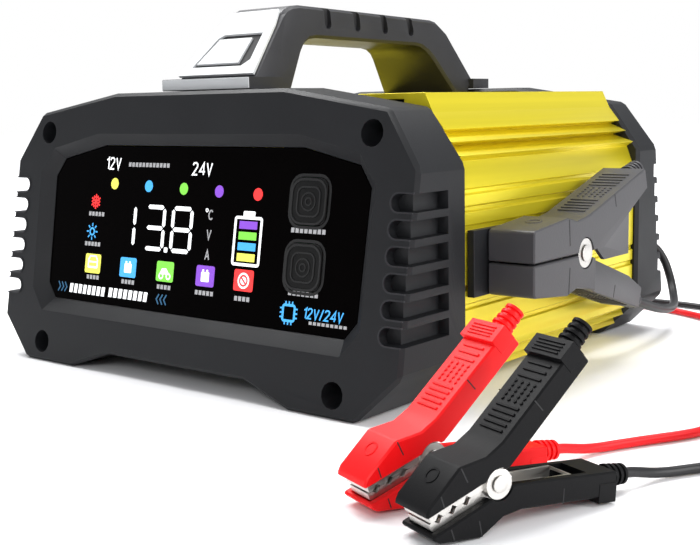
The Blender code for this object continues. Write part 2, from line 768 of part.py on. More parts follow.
def wall_screw(length):
    """A screw from inside a wall: its head under the wall's inner face, and its shank through it."""
    profile = [(0, length), (SCREW_RADIUS, length), (SCREW_RADIUS, 0), (HEAD_RADIUS, 0)]
    return profile + [(HEAD_RADIUS, -HEAD_THICK), (0, -HEAD_THICK)]


# ---------------------------------------------------------------- rear wall
def fan_bolts():
    return [(sx * FAN_BOLT / 2, sz * FAN_BOLT / 2) for sx in (1, -1) for sz in (1, -1)]


def fan():
    frame = back_frame(0, FAN_HEIGHT)
    inside = -CAP_WALL - GAP
    square = cube((FAN_SIZE, FAN_THICK, FAN_SIZE), (0, inside - FAN_THICK / 2, 0))
    shroud = add("fan_frame", square, CHIP, frame)
    cut(shroud, rod(FAN_BORE, (0, inside + 2 * MM, 0), (0, inside - FAN_THICK + 2.5 * MM, 0), 24), frame=frame)
    vent = FAN_THICK + 3 * MM
    for side in (1, -1):
        cut(shroud, cube((15 * MM, 8 * MM, 34 * MM), (side * 19 * MM, inside - vent + 2 * MM, 0)), frame=frame)
    for x, z in fan_bolts():
        cut(shroud, rod(PEG_RADIUS + GAP, (x, inside + 2 * MM, z), (x, inside - vent, z), 10), frame=frame)

    back = inside - FAN_THICK + 3.2 * MM
    rotor = add("fan_rotor", rod(FAN_HUB, (0, inside - 1 * MM, 0), (0, back, 0), 20), BLACK, frame)
    for i in range(FAN_BLADES):
        turn = Matrix.Rotation(2 * math.pi * i / FAN_BLADES, 4, "Y")
        pitch = Matrix.Rotation(math.radians(35), 4, "X")
        reach = FAN_BLADE - FAN_HUB + 2 * MM
        blade = cube((reach, 1.2 * MM, 13 * MM))
        place = turn @ Matrix.Translation((FAN_HUB - 2 * MM + reach / 2, (inside + back) / 2, 0)) @ pitch
        join(rotor, blade, frame=frame @ place)

    above = frame @ Matrix.Translation((0, 1.5 * MM, 0))
    guard = add("fan_guard", ring(9 * MM, 0.9 * MM), STEEL, above)
    join(guard, *[ring(radius, 0.9 * MM) for radius in (18 * MM, 27.5 * MM)], frame=above)
    for i in range(4):
        x, z = math.cos(math.pi * (i / 2 + 0.25)), math.sin(math.pi * (i / 2 + 0.25))
        reach = FAN_BOLT / 2 * math.sqrt(2)
        spoke = rod(0.75 * MM, (x * 8.2 * MM, 1.1 * MM, z * 8.2 * MM), (x * reach, 1.1 * MM, z * reach), 7)
        eye = rod(2.9 * MM, (x * reach, 0.31 * MM, z * reach), (x * reach, 2 * MM, z * reach), 13)
        peg = rod(PEG_RADIUS, (x * reach, 1 * MM, z * reach), (x * reach, inside - FAN_THICK * 0.7, z * reach), 10)
        join(guard, spoke, eye, peg, frame=frame)


def ring(radius, wire):
    """A wire ring about the local Y axis."""
    bm = bmesh.new()
    steps = 20
    around = [0.3 + math.pi * 2 * k / 4 for k in range(4)]
    points = [bm.verts.new((radius + wire * math.cos(a), wire * math.sin(a), 0)) for a in around]
    edges = [bm.edges.new((points[k], points[(k + 1) % 4])) for k in range(4)]
    bmesh.ops.spin(bm, geom=points + edges, axis=(0, 1, 0), cent=(0, 0, 0), angle=2 * math.pi, steps=steps)
    bmesh.ops.remove_doubles(bm, verts=bm.verts, dist=1e-6)
    bmesh.ops.recalc_face_normals(bm, faces=bm.faces)
    return bm


def inlet():
    """A flanged socket for a mains lead, with two pins at the bottom of its well."""
    frame = back_frame(*INLET_PLACE)
    wide, deep, tall = INLET
    body = add("ac_inlet", cube((wide, deep, tall), (0, 1 * MM - deep / 2, 0)), BLACK, frame)
    join(body, cube((wide + 5 * MM, 1.5 * MM, tall + 5 * MM), (0, GAP + 0.75 * MM, 0)), frame=frame)
    well = cube((wide - 2 * INLET_WALL, 2 * (deep - 3 * MM), tall - 2 * INLET_WALL))
    cut(body, well, frame=frame)
    for side in (1, -1):
        ends = (side * 5.5 * MM, -deep + 2 * MM, 0), (side * 5.5 * MM, -1 * MM, 0)
        join(body, rod(1.2 * MM, *ends, 10), frame=frame)


def glands():
    """A tapered strain relief for each lead, with a neck through the wall and a nut inside."""
    for name, place in GLANDS.items():
        bore = PARKED_LEAD_RADIUS if name == "parked_gland" else LEAD_RADIUS
        profile = [
            (0, GLAND_LENGTH),
            (bore + 0.7 * MM, GLAND_LENGTH),
            (GLAND_NECK, 4 * MM),
            (GLAND_NECK + 2.4 * MM, 3 * MM),
            (GLAND_NECK + 2.4 * MM, GAP),
            (GLAND_NECK, GAP),
            (GLAND_NECK, -CAP_WALL - GAP),
            (GLAND_NECK + 2 * MM, -CAP_WALL - GAP),
            (GLAND_NECK + 2 * MM, -CAP_WALL - 4 * MM),
            (0, -CAP_WALL - 4 * MM),
        ]
        smooth(add(name, turned(profile, (0, 0, 0), (0, 1, 0), 12), RUBBER, back_frame(*place)))


# ---------------------------------------------------------------- electronics
def electronics():
    """The power board lies on the housing's solid corners and carries the rest."""
    under = FOOT_SCREW[1] + PORT_SIZE / 2 + GAP
    wide = 2 * (HOUSING_HALF - HOUSING_WALL - RIB_DEPTH - POWER_BOARD_SIDE - GAP)
    add("power_board", cube((wide, POWER_BOARD_DEPTH, BOARD_THICK), (0, 0, under + BOARD_THICK / 2)), BOARD)
    top = under + BOARD_THICK + GAP

    middle = top + 18 * MM
    core = add("transformer", cube((44 * MM, 34 * MM, 36 * MM), (-38 * MM, 18 * MM, middle)), CHIP)
    join(core, rod(14.5 * MM, (-38 * MM, -6 * MM, middle), (-38 * MM, 42 * MM, middle), 20))
    profile = [(0, 34 * MM), (10 * MM, 34 * MM), (11 * MM, 33 * MM), (11 * MM, 0), (0, 0)]
    can = turned(profile, (-44 * MM, -30 * MM, top), (0, 0, 1), 20)
    smooth(add("filter_capacitor", can, COPPER))

    sink_x, sink_y = 34 * MM, 4 * MM
    sink = add("heat_sink", cube((4 * MM, 78 * MM, 40 * MM), (sink_x, sink_y, top + 20 * MM)), ALUMINIUM)
    for k in range(7):
        z = top + (4 + 5.4 * k) * MM
        join(sink, cube((20 * MM, 78 * MM, 1.6 * MM), (sink_x + 11 * MM, sink_y, z)))
    face = sink_x - 2 * MM - GAP - 2.2 * MM
    bar = cube((2 * MM, 66 * MM, 6 * MM), (face - 3 * MM, sink_y, top + 14 * MM))
    switches = add("power_transistors", bar, CHIP)
    for y in (-26 * MM, 0, 26 * MM):
        join(switches, cube((4.4 * MM, 15 * MM, 20 * MM), (face, sink_y + y, top + 12 * MM)))


# ---------------------------------------------------------------- docks
def docks():
    """A side plate with a tongue that a parked clamp bites on, and a wall beside its nose."""
    for name, side in (("right_dock", 1), ("left_dock", -1)):
        inside = HOUSING_HALF + GAP
        plate = cube((DOCK_THICK, 74 * MM, 14 * MM), (side * (inside + DOCK_THICK / 2), DOCK_Y + 24 * MM, PARK_Z))
        dock = add(name, plate, CHARCOAL)
        chamfer(dock, 0.6 * MM)
        tongue = (DOCK_REACH + 1 * MM, 18 * MM, TONGUE)
        x = side * (inside + DOCK_THICK - 1 * MM + tongue[0] / 2)
        join(dock, cube(tongue, (x, DOCK_Y - 4 * MM, PARK_Z)))
        cheek = (DOCK_THICK + PARKED_SIDE - GAP, CHEEK_REAR - CHEEK_FRONT, 2 * CHEEK_HALF)
        middle = (side * (inside + cheek[0] / 2), (CHEEK_FRONT + CHEEK_REAR) / 2, PARK_Z)
        join(dock, cube(cheek, middle))
        ends = (0, DOCK_SCREW_Y, PARK_Z), (side * HALF * 1.2, DOCK_SCREW_Y, PARK_Z)
        cut(dock, rod(SCREW_RADIUS + GAP, *ends, 10))
        seat = side * (HOUSING_HALF - HOUSING_WALL - RIB_DEPTH - GAP), DOCK_SCREW_Y, PARK_Z
        length = HOUSING_WALL + RIB_DEPTH + DOCK_THICK - GAP
        smooth(add(f"{name}_screw", turned(wall_screw(length), seat, (side, 0, 0), 12), STEEL))


# ---------------------------------------------------------------- clamps
class Clamp:
    """One spring clamp. Its own frame has the pivot at the origin, the nose along +X, the upper
    half towards +Z and the width along Y. Sizes are one half's, measured from the jaws' line."""

    def __init__(self, name, pivot, heading, tilt, **sizes):
        self.name = name
        self.look = COLOURS[name]
        turn = Matrix.Rotation(math.radians(heading), 4, "Z") @ Matrix.Rotation(math.radians(tilt), 4, "Y")
        self.frame = Matrix.Translation(pivot) @ turn
        for key, value in sizes.items():
            setattr(self, key, value)

    def handle_point(self, along, down=0.0):
        """A point on the handle's outer line, along it from its start, and down into the handle."""
        a = math.radians(self.angle)
        x = -self.handle_start - along * math.cos(a) - down * math.sin(a)
        return x, self.handle_rise + along * math.sin(a) - down * math.cos(a)

    def half(self, skin=0.0, drop=0.0, length=None):
        """One half's side outline, shrunk from outside by skin, and let past its inner edge by drop."""
        long = (self.handle_length if length is None else length) - skin
        end = self.handle_point(long, self.handle_thick)
        return [
            (self.jaw - skin, self.mouth_gap - drop),
            (self.jaw - skin, self.nose - self.nose_round - skin),
            (self.jaw - skin - self.nose_round, self.nose - skin),
            (self.belly_x, self.belly - skin),
            (self.neck_x, self.neck - skin),
            self.handle_point(0, skin),
            self.handle_point(long, skin),
            (end[0], end[1] - drop),
            (-self.apex, self.mouth_gap - drop),
        ]

    def flip(self, points, upper):
        return points if upper else [(x, -z) for x, z in reversed(points)]

    def across(self, half):
        return (-half, 0), (half, 0)

    def shell(self, upper):
        """The moulded cover: hollow inside, with a round cut for the pivot and a boot at its end."""
        name = f"{self.name}_{'upper' if upper else 'lower'}_shell"
        wide = self.width / 2
        cover = add(name, prism(self.flip(self.half(), upper), *self.across(wide)), self.look, self.frame)
        chamfer(cover, 0.5 * MM, 25)
        inside = (self.upper_metal if upper else self.lower_metal) + GAP
        hollow = self.flip(self.half(self.wall, 6 * self.mouth_gap, self.handle_length * 0.8), upper)
        cut(cover, prism(hollow, *self.across(inside)), frame=self.frame)
        cut(cover, rod(self.ear + 1.3 * GAP, (0, -wide * 2, 0), (0, wide * 2, 0), 24), frame=self.frame)
        sign = 1 if upper else -1
        start = self.handle_point(self.handle_length - 1 * MM, self.handle_thick / 2)
        end = self.handle_point(self.handle_length + self.boot, self.handle_thick / 2)
        ends = (start[0], 0, sign * start[1]), (end[0], 0, sign * end[1])
        join(cover, rod(self.boot_radius, *ends, 12, self.boot_radius * 0.85), frame=self.frame)
        if self.web:
            self.park(cover, upper)
        return cover

    def park(self, cover, upper):
        """A slot for the dock's tongue, and a web behind the pivot that the lower half clears."""
        slot = (self.jaw * 0.62, self.width, TONGUE + 4 * GAP)
        cut(cover, cube(slot, (self.jaw * 0.62, -self.wall * 1.4, 0)), frame=self.frame)
        face = self.width / 2
        if upper:
            root = self.handle_point(self.web * 0.9, self.handle_thick / 2)
            outline = [(-self.apex * 0.6, self.mouth_gap), (-self.apex * 0.6, self.neck / 2)]
            outline += [root, (-self.web, root[1]), (-self.web, -self.mouth_gap * 12)]
            outline += [(-self.apex, -self.mouth_gap * 12)]
            web = prism(outline, (face - self.wall, 0), (face - 0.02 * MM, 0))
            join(cover, web, frame=self.frame)
        else:
            room = (self.handle_length + self.boot, 2 * (self.wall + GAP), 3 * self.handle_length)
            cut(cover, cube(room, (-self.apex * 0.5 - room[0] / 2, face, 0)), frame=self.frame)
            near, far = self.apex * 0.27, self.apex * 2.8
            swing = math.tan(math.radians(PARKED_OPENING + 3))
            relief = [(-far, -far * swing), (-near, -near * swing - GAP), (-near, far), (-far, far)]
            cut(cover, prism(relief, *self.across(self.width)), frame=self.frame)

    def metal(self, upper):
        """The pressed jaw: a channel with notched teeth, a closed nose and round ears."""
        name = f"{self.name}_{'upper' if upper else 'lower'}_jaw"
        half = self.upper_metal if upper else self.lower_metal
        skin = self.wall + GAP
        reach = self.handle_length * 0.6
        outline = self.half(skin, 0, reach)
        outline[0] = (outline[0][0], self.tooth_gap)
        outline[-1] = (-self.apex * 0.5, max(self.mouth_gap, self.tooth_gap))
        outline.append((self.ear * 0.6, self.tooth_gap))
        jaw = add(name, prism(self.flip(outline, upper), *self.across(half)), SILVER, self.frame)
        hollow = self.flip(self.half(skin + self.plate, 6 * self.mouth_gap, reach + 2 * MM), upper)
        cut(jaw, prism(hollow, *self.across(half - self.plate)), frame=self.frame)
        outer = self.width / 2 - 0.4 * MM if upper else half
        for side in (1, -1):
            ends = (0, side * (half - self.plate), 0), (0, side * outer, 0)
            join(jaw, rod(self.ear if upper else self.ear * 0.85, *ends, 24), frame=self.frame)
        for share in (0.42, 0.62, 0.82):
            notch = cube((self.tooth, self.width * 2, self.tooth), (self.jaw * share, 0, 0), math.pi / 4)
            cut(jaw, notch, frame=self.frame)
        cut(jaw, rod(self.pin + 0.2 * MM, (0, -self.width, 0), (0, self.width, 0), 16), frame=self.frame)

    def pivot_parts(self):
        """The rivet through the ears, and the torsion spring wound around it."""
        out = self.width / 2 - 0.4 * MM + GAP
        head = 0.7 * MM
        profile = [
            (0, 2 * out + head),
            (self.pin * 1.7, 2 * out + head * 0.6),
            (self.pin * 1.7, 2 * out),
            (self.pin, 2 * out),
            (self.pin, 0),
            (self.pin * 1.7, 0),
            (self.pin * 1.7, -head * 0.6),
            (0, -head),
        ]
        smooth(add(f"{self.name}_rivet", turned(profile, (0, -out, 0), (0, 1, 0), 14), SILVER, self.frame))
        wide = self.lower_metal - self.plate - self.wire - GAP
        turns, steps = 3, 8
        around = self.pin + 0.5 * MM + self.wire
        points = [(-around - self.ear, -wide, -around * 0.3)]
        for k in range(turns * steps + 1):
            a = math.pi * 2 * k / steps
            points.append((-around * math.sin(a), -wide + 2 * wide * k / (turns * steps), -around * math.cos(a)))
        points.append((-around - self.ear, wide, -around))
        tube(f"{self.name}_spring", points, self.wire, STEEL, self.frame, 1)

    def stand(self):
        """Lifts the clamp until its lower half rests on the floor."""
        turn = self.frame.to_3x3()
        self.frame.translation.z = -min((turn @ Vector((x, 0, -z))).z for x, z in self.half())
        return self

    def build(self):
        for upper in (True, False):
            self.shell(upper)
            self.metal(upper)
        self.pivot_parts()
        return self


def tube(name, points, radius, look, frame=None, sides=2):
    """A round wire or lead along its points."""
    curve = bpy.data.curves.new(name, "CURVE")
    curve.dimensions = "3D"
    curve.bevel_depth = radius
    curve.bevel_resolution = sides
    curve.use_fill_caps = True
    spline = curve.splines.new("POLY")
    spline.points.add(len(points) - 1)
    for point, place in zip(spline.points, points):
        point.co = (*place, 1)
    made = bpy.data.objects.new(name, curve)
    model.objects.link(made)
    curve.materials.append(material(name, *look))
    if frame is not None:
        made.matrix_world = frame
    return made


LOOSE_SIZES = {
    "width": 14.3 * MM,
    "jaw": 22.5 * MM,
    "nose": 5.2 * MM,
    "nose_round": 1.6 * MM,
    "belly_x": 9.6 * MM,
    "belly": 10.3 * MM,
    "neck_x": 1.5 * MM,
    "neck": 8.7 * MM,
    "handle_start": 4.2 * MM,
    "handle_rise": 9.9 * MM,
    "handle_length": 32.5 * MM,
    "handle_thick": 6.8 * MM,
    "angle": 23.5,
    "apex": 4.6 * MM,
    "web": 0,
    "mouth_gap": 2.5 * MM,
    "tooth_gap": 0.35 * MM,
    "tooth": 2.2 * MM,
    "wall": 1.1 * MM,
    "plate": 0.8 * MM,
    "upper_metal": 5.7 * MM,
    "lower_metal": 4.6 * MM,
    "ear": 4 * MM,
    "pin": 1.3 * MM,
    "wire": 0.4 * MM,
    "boot": 8 * MM,
    "boot_radius": 2.9 * MM,
}

PARKED_SIZES = {
    "width": PARKED_WIDTH,
    "jaw": 39 * MM,
    "nose": 12 * MM,
    "nose_round": 1 * MM,
    "belly_x": 14 * MM,
    "belly": 14.4 * MM,
    "neck_x": 7 * MM,
    "neck": 12.6 * MM,
    "handle_start": 3 * MM,
    "handle_rise": 14.2 * MM,
    "handle_length": 50 * MM,
    "handle_thick": 8.5 * MM,
    "angle": 17,
    "apex": 15 * MM,
    "web": 36 * MM,
    "mouth_gap": 0.35 * MM,
    "tooth_gap": TONGUE / 2 + GAP,
    "tooth": 2 * MM,
    "wall": 1.6 * MM,
    "plate": 1.2 * MM,
    "upper_metal": 7.3 * MM,
    "lower_metal": 5.6 * MM,
    "ear": 5.6 * MM,
    "pin": 1.9 * MM,
    "wire": 0.6 * MM,
    "boot": 10 * MM,
    "boot_radius": 3.6 * MM,
}

PARKED_X = HOUSING_HALF + GAP + DOCK_THICK + PARKED_SIDE + PARKED_WIDTH / 2


# ---------------------------------------------------------------- leads
def along(points, step):
    """Points every step along a smooth curve through a route's own points."""
    points = [Vector(p) * MM for p in points]
    points = [2 * points[0] - points[1], *points, 2 * points[-1] - points[-2]]
    fine = []
    for i in range(1, len(points) - 2):
        p0, p1, p2, p3 = points[i - 1 : i + 3]
        for k in range(16):
            t = k / 16
            bend = (2 * p0 - 5 * p1 + 4 * p2 - p3) * t * t + (3 * p1 - p0 - 3 * p2 + p3) * t**3
            fine.append((2 * p1 + (p2 - p0) * t + bend) / 2)
    fine.append(points[-2])
    total = sum((b - a).length for a, b in zip(fine, fine[1:]))
    count = round(total / step)
    result, walked, wanted = [fine[0]], 0.0, total / count
    for a, b in zip(fine, fine[1:]):
        while walked + (b - a).length >= wanted and len(result) < count:
            result.append(a.lerp(b, (wanted - walked) / (b - a).length))
            wanted += total / count
        walked += (b - a).length
    return result + [fine[-1]]


def leads():
    for name, route in LEADS.items():
        radius = PARKED_LEAD_RADIUS if name == "parked_lead" else LEAD_RADIUS
        tube(name, along(route, 5 * radius), radius, COLOURS[name.split("_")[0]])
    inner, outer = COIL_RADIUS - LEAD_RADIUS, COIL_RADIUS + LEAD_RADIUS
    profile = [(outer, COIL_HEIGHT), (outer, 0), (inner, 0), (inner, COIL_HEIGHT), (outer, COIL_HEIGHT)]
    for name, (x, y) in COILS.items():
        smooth(add(f"{name}_lead_coil", turned(profile, (x, y, 0), (0, 0, 1), 24), COLOURS[name]))


def build():
    front_bezel()
    housing()
    rear_cap()
    long_screws("bezel_screw", FRONT_RIM, -1)
    long_screws("rear_screw", REAR_RIM, 1)
    display_lens()
    display_stack()
    buttons()
    handle()
    handle_screws()
    fan()
    inlet()
    glands()
    electronics()
    docks()
    for name, (x, y) in CLAMP_PLACES.items():
        Clamp(name, (x, y, 0), CLAMP_HEADING, CLAMP_TILT, **LOOSE_SIZES).stand().build()
    Clamp("parked", (PARKED_X, PARKED_Y, PARK_Z), -90, 0, **PARKED_SIZES).build()
    leads()


build()
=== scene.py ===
"""Looks for the car battery charger: camera and lights, leads, materials, and the finer shapes that
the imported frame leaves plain. Metres, in the frame's own coordinates: +Z up, display towards -Y."""

import json
import math

import bmesh
import bpy
from mathutils import Matrix, Vector


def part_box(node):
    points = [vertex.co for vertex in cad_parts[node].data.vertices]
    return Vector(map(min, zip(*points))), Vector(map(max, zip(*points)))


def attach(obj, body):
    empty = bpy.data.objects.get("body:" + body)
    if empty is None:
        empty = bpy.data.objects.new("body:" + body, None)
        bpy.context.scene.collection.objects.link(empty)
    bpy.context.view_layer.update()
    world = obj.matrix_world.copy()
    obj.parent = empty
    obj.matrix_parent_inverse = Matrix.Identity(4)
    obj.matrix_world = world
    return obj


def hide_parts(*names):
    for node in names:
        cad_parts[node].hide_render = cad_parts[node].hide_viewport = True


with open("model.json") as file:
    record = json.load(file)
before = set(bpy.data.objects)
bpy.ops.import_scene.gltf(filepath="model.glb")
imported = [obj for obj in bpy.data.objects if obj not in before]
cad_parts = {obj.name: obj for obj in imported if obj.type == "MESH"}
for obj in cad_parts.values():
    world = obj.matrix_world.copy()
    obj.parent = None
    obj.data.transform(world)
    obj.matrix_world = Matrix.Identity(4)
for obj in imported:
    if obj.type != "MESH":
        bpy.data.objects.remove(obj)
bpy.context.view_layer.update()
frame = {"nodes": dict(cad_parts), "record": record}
scene = bpy.context.scene

MM = 0.001
FULL_TURN = 2 * math.pi
ROOT = "charger"  # the body that stands still

# The photo's camera: metres, radians, and millimetres for its lens
CAMERA_PLACE = (0.32535, -0.39589, 0.1074)
CAMERA_YAW, CAMERA_PITCH, CAMERA_ROLL = 0.67954, -0.14784, -0.019334
CAMERA_LENS = 58.14
CAMERA_SENSOR = 36

# Sizes repeated from the design
FRONT_Y = -107.25 * MM
REAR_Y = 107.25 * MM
FRONT_LEAN = 0.1757  # how far the display's face goes back for each unit of height
REAR_LEAN = 0.147
GLASS_Y = FRONT_Y + 4.8 * MM
SLOT_HEIGHTS = [(74.7 - 8.83 * i) * MM for i in range(6)]
SLOT_HALF = 3.1 * MM
SLOT_IN = 99.7 * MM  # from the middle plane to a slot's inner end
SLOT_DEEP = 4.2 * MM
RIM_LENGTH = 9.2 * MM
RIM_WIDTH = 0.55 * MM
RIM_OUT = 0.28 * MM


# ---------------------------------------------------------------- camera
def camera():
    made = bpy.data.objects.new("camera", bpy.data.cameras.new("camera"))
    scene.collection.objects.link(made)
    yaw, pitch, roll = CAMERA_YAW, CAMERA_PITCH, CAMERA_ROLL
    level = math.cos(pitch)
    ahead = Vector((-math.sin(yaw) * level, math.cos(yaw) * level, math.sin(pitch)))
    right = Vector((math.cos(yaw), math.sin(yaw), 0))
    up = right.cross(ahead)
    across = right * math.cos(roll) + up * math.sin(roll)
    above = up * math.cos(roll) - right * math.sin(roll)
    turn = Matrix((across, above, -ahead)).transposed().to_4x4()
    made.matrix_world = Matrix.Translation(CAMERA_PLACE) @ turn
    made.data.lens = CAMERA_LENS
    made.data.sensor_width = CAMERA_SENSOR
    made.data.clip_start = 0.01
    scene.camera = made


def light(name, place, target, size, power, colour=(1, 1, 1)):
    data = bpy.data.lights.new(name, "AREA")
    data.shape = "RECTANGLE"
    data.size, data.size_y = size
    data.energy = power
    data.color = colour
    made = bpy.data.objects.new(name, data)
    scene.collection.objects.link(made)
    aim = (Vector(target) - Vector(place)).to_track_quat("-Z", "Y")
    made.matrix_world = Matrix.Translation(place) @ aim.to_matrix().to_4x4()


def floor_look():
    """A pale floor that brightens away from the lights, so that it meets a white backdrop evenly."""
    made = look("floor", (0.86, 0.86, 0.87), 0.6, grain=(40, 0.01), tint=0.01)
    nodes, link = made.node_tree.nodes, made.node_tree.links.new
    place = nodes.new("ShaderNodeTexCoord")
    length = nodes.new("ShaderNodeVectorMath")
    spread = nodes.new("ShaderNodeMapRange")
    length.operation = "LENGTH"
    link(place.outputs["Object"], length.inputs[0])
    spread.inputs["From Min"].default_value = 0.3
    spread.inputs["From Max"].default_value = 1.2
    spread.inputs["To Max"].default_value = 0.7
    link(length.outputs["Value"], spread.inputs["Value"])
    shader = nodes["Principled BSDF"]
    shader.inputs["Emission Color"].default_value = (1, 1, 1, 1)
    link(spread.outputs["Result"], shader.inputs["Emission Strength"])
    return made


def world_look():
    """White to the camera, and a dimmer, cooler white as a light."""
    world = bpy.data.worlds.new("studio")
    scene.world = world
    world.use_nodes = True
    nodes, link = world.node_tree.nodes, world.node_tree.links.new
    seen = nodes.new("ShaderNodeLightPath")
    back = nodes.new("ShaderNodeBackground")
    mix = nodes.new("ShaderNodeMixShader")
    back.inputs["Color"].default_value = (1, 1, 1, 1)
    back.inputs["Strength"].default_value = 1.0
    nodes["Background"].inputs["Color"].default_value = (0.95, 0.97, 1, 1)
    nodes["Background"].inputs["Strength"].default_value = 0.5
    link(seen.outputs["Is Camera Ray"], mix.inputs["Fac"])
    link(nodes["Background"].outputs["Background"], mix.inputs[1])
    link(back.outputs["Background"], mix.inputs[2])
    link(mix.outputs["Shader"], nodes["World Output"].inputs["Surface"])


def studio():
    world_look()
    light("key", (-0.6, 0.1, 1.0), (0, 0, 0.08), (0.8, 0.5), 15)
    light("strip", (0.1, 0.25, 1.1), (0, 0, 0.1), (0.3, 1.0), 10)
    light("side", (1.15, 0.1, 0.5), (0.1, 0, 0.06), (0.4, 0.9), 12)
    light("front", (0.6, -1.1, 0.6), (0.12, -0.14, 0.02), (0.4, 0.3), 4)
    bm = bmesh.new()
    under = Matrix.Translation((0, 0, -0.2 * MM))
    bmesh.ops.create_grid(bm, x_segments=2, y_segments=2, size=4, matrix=under)
    mesh = bpy.data.meshes.new("floor")
    bm.to_mesh(mesh)
    floor = bpy.data.objects.new("floor", mesh)
    scene.collection.objects.link(floor)
    mesh.materials.append(floor_look())
    scene.view_settings.view_transform = "Standard"


# ---------------------------------------------------------------- materials
WIDE_NOISE = 45
BUMP_HEIGHT = 0.3 * MM


def look(
    name, colour, roughness, metallic=0.0, grain=(900, 0.05), tint=0.12, stretch=(1, 1, 1), **sockets
):
    """A shader whose colour and roughness drift with a wide noise, under a fine bump. grain is the
    fine noise's scale and strength, and stretch squeezes both noises along an axis."""
    made = bpy.data.materials.new(name)
    made.use_nodes = True
    nodes, link = made.node_tree.nodes, made.node_tree.links.new
    shader = nodes["Principled BSDF"]
    place, mapping = nodes.new("ShaderNodeTexCoord"), nodes.new("ShaderNodeMapping")
    mapping.inputs["Scale"].default_value = stretch
    link(place.outputs["Object"], mapping.inputs["Vector"])
    wide, fine = nodes.new("ShaderNodeTexNoise"), nodes.new("ShaderNodeTexNoise")
    for noise, scale, detail in ((wide, WIDE_NOISE, 4), (fine, grain[0], 2)):
        noise.inputs["Scale"].default_value = scale
        noise.inputs["Detail"].default_value = detail
        link(mapping.outputs["Vector"], noise.inputs["Vector"])
    ramp = nodes.new("ShaderNodeValToRGB")
    ramp.color_ramp.elements[0].position, ramp.color_ramp.elements[1].position = 0.3, 0.7
    ramp.color_ramp.elements[0].color = (*[c * (1 - tint) for c in colour], 1)
    ramp.color_ramp.elements[1].color = (*[min(1, c * (1 + tint)) for c in colour], 1)
    link(wide.outputs["Fac"], ramp.inputs["Fac"])
    link(ramp.outputs["Color"], shader.inputs["Base Color"])
    spread = nodes.new("ShaderNodeMapRange")
    spread.inputs["To Min"].default_value = roughness * 0.85
    spread.inputs["To Max"].default_value = min(1, roughness * 1.18)
    link(wide.outputs["Fac"], spread.inputs["Value"])
    link(spread.outputs["Result"], shader.inputs["Roughness"])
    bump = nodes.new("ShaderNodeBump")
    bump.inputs["Strength"].default_value = grain[1]
    bump.inputs["Distance"].default_value = BUMP_HEIGHT
    link(fine.outputs["Fac"], bump.inputs["Height"])
    link(bump.outputs["Normal"], shader.inputs["Normal"])
    shader.inputs["Metallic"].default_value = metallic
    for key, value in sockets.items():
        shader.inputs[key.replace("_", " ")].default_value = value
    return made


def glow(name, colour, strength=1.0):
    """A lit mark on the display."""
    made = look(name, [c * 0.8 for c in colour], 0.35, grain=(600, 0.01), tint=0.04)
    shader = made.node_tree.nodes["Principled BSDF"]
    shader.inputs["Emission Color"].default_value = (*colour, 1)
    shader.inputs["Emission Strength"].default_value = strength
    return made


PLASTIC = look(
    "charcoal_plastic", (0.008, 0.0085, 0.01), 0.5, grain=(1400, 0.12), tint=0.1, Specular_IOR_Level=0.25
)
GRIP = look(
    "handle_plastic", (0.02, 0.02, 0.023), 0.42, grain=(1400, 0.14), tint=0.1, Specular_IOR_Level=0.3
)
# Painted highlight: the handle's front leg is dark plastic, given a pale grey here for the strong light
# that falls on its face
PAINTED_HIGHLIGHT = look(
    "painted_highlight_plate", (0.46, 0.47, 0.48), 0.3, grain=(700, 0.02), tint=0.03, Specular_IOR_Level=0.3
)
YELLOW = look(
    "yellow_anodised",
    (0.72, 0.6, 0.018),
    0.3,
    0.6,
    grain=(420, 0.08),
    tint=0.14,
    stretch=(2.2, 0.03, 2.2),
)
GLASS = look(
    "display_glass", (0.001, 0.0007, 0.0007), 0.1, grain=(300, 0.0), tint=0.1, Specular_IOR_Level=0.02
)
KEY = look("key", (0.006, 0.006, 0.006), 0.45, grain=(1200, 0.05), Specular_IOR_Level=0.15)
KEY_RING = look("key_ring", (0.014, 0.014, 0.014), 0.4, grain=(1200, 0.05), Specular_IOR_Level=0.3)
# Painted shade: near-black for the shadow in the handle plate's recess and in the clamps' seam grooves
PAINTED_SHADE = look("painted_groove_shade", (0.006, 0.006, 0.007), 0.7, grain=(900, 0.05))
SLEEVE_GREY = look(
    "clamp_grey", (0.045, 0.044, 0.048), 0.42, grain=(1300, 0.1), tint=0.08, Specular_IOR_Level=0.35
)
RED = look(
    "red_plastic", (0.8, 0.004, 0.006), 0.4, grain=(1300, 0.08), tint=0.05, Specular_IOR_Level=0.2
)
BLACK = look(
    "black_plastic", (0.004, 0.004, 0.0045), 0.5, grain=(1300, 0.1), tint=0.15, Specular_IOR_Level=0.1
)
SILVER = look("nickel", (0.56, 0.545, 0.52), 0.34, 1.0, grain=(500, 0.3), tint=0.15)
STEEL = look("zinc_steel", (0.55, 0.55, 0.57), 0.3, 1.0, grain=(700, 0.15), tint=0.1)
ALUMINIUM = look("aluminium", (0.75, 0.75, 0.77), 0.35, 1.0, grain=(500, 0.1), stretch=(1, 0.1, 1))
RUBBER = look("rubber", (0.02, 0.02, 0.021), 0.6, grain=(1500, 0.2))
RED_LEAD = look(
    "red_cable", (0.72, 0.006, 0.01), 0.42, grain=(1500, 0.08), tint=0.05, Specular_IOR_Level=0.25
)
BLACK_LEAD = look(
    "black_cable", (0.009, 0.009, 0.01), 0.42, grain=(1500, 0.1), Specular_IOR_Level=0.3
)
BOARD = look("circuit_board", (0.02, 0.16, 0.06), 0.45, grain=(800, 0.3), tint=0.25)
CHIP = look("moulded_black", (0.022, 0.022, 0.022), 0.5, grain=(1100, 0.15))
SLEEVE = look("capacitor_sleeve", (0.03, 0.03, 0.1), 0.3, grain=(700, 0.05))
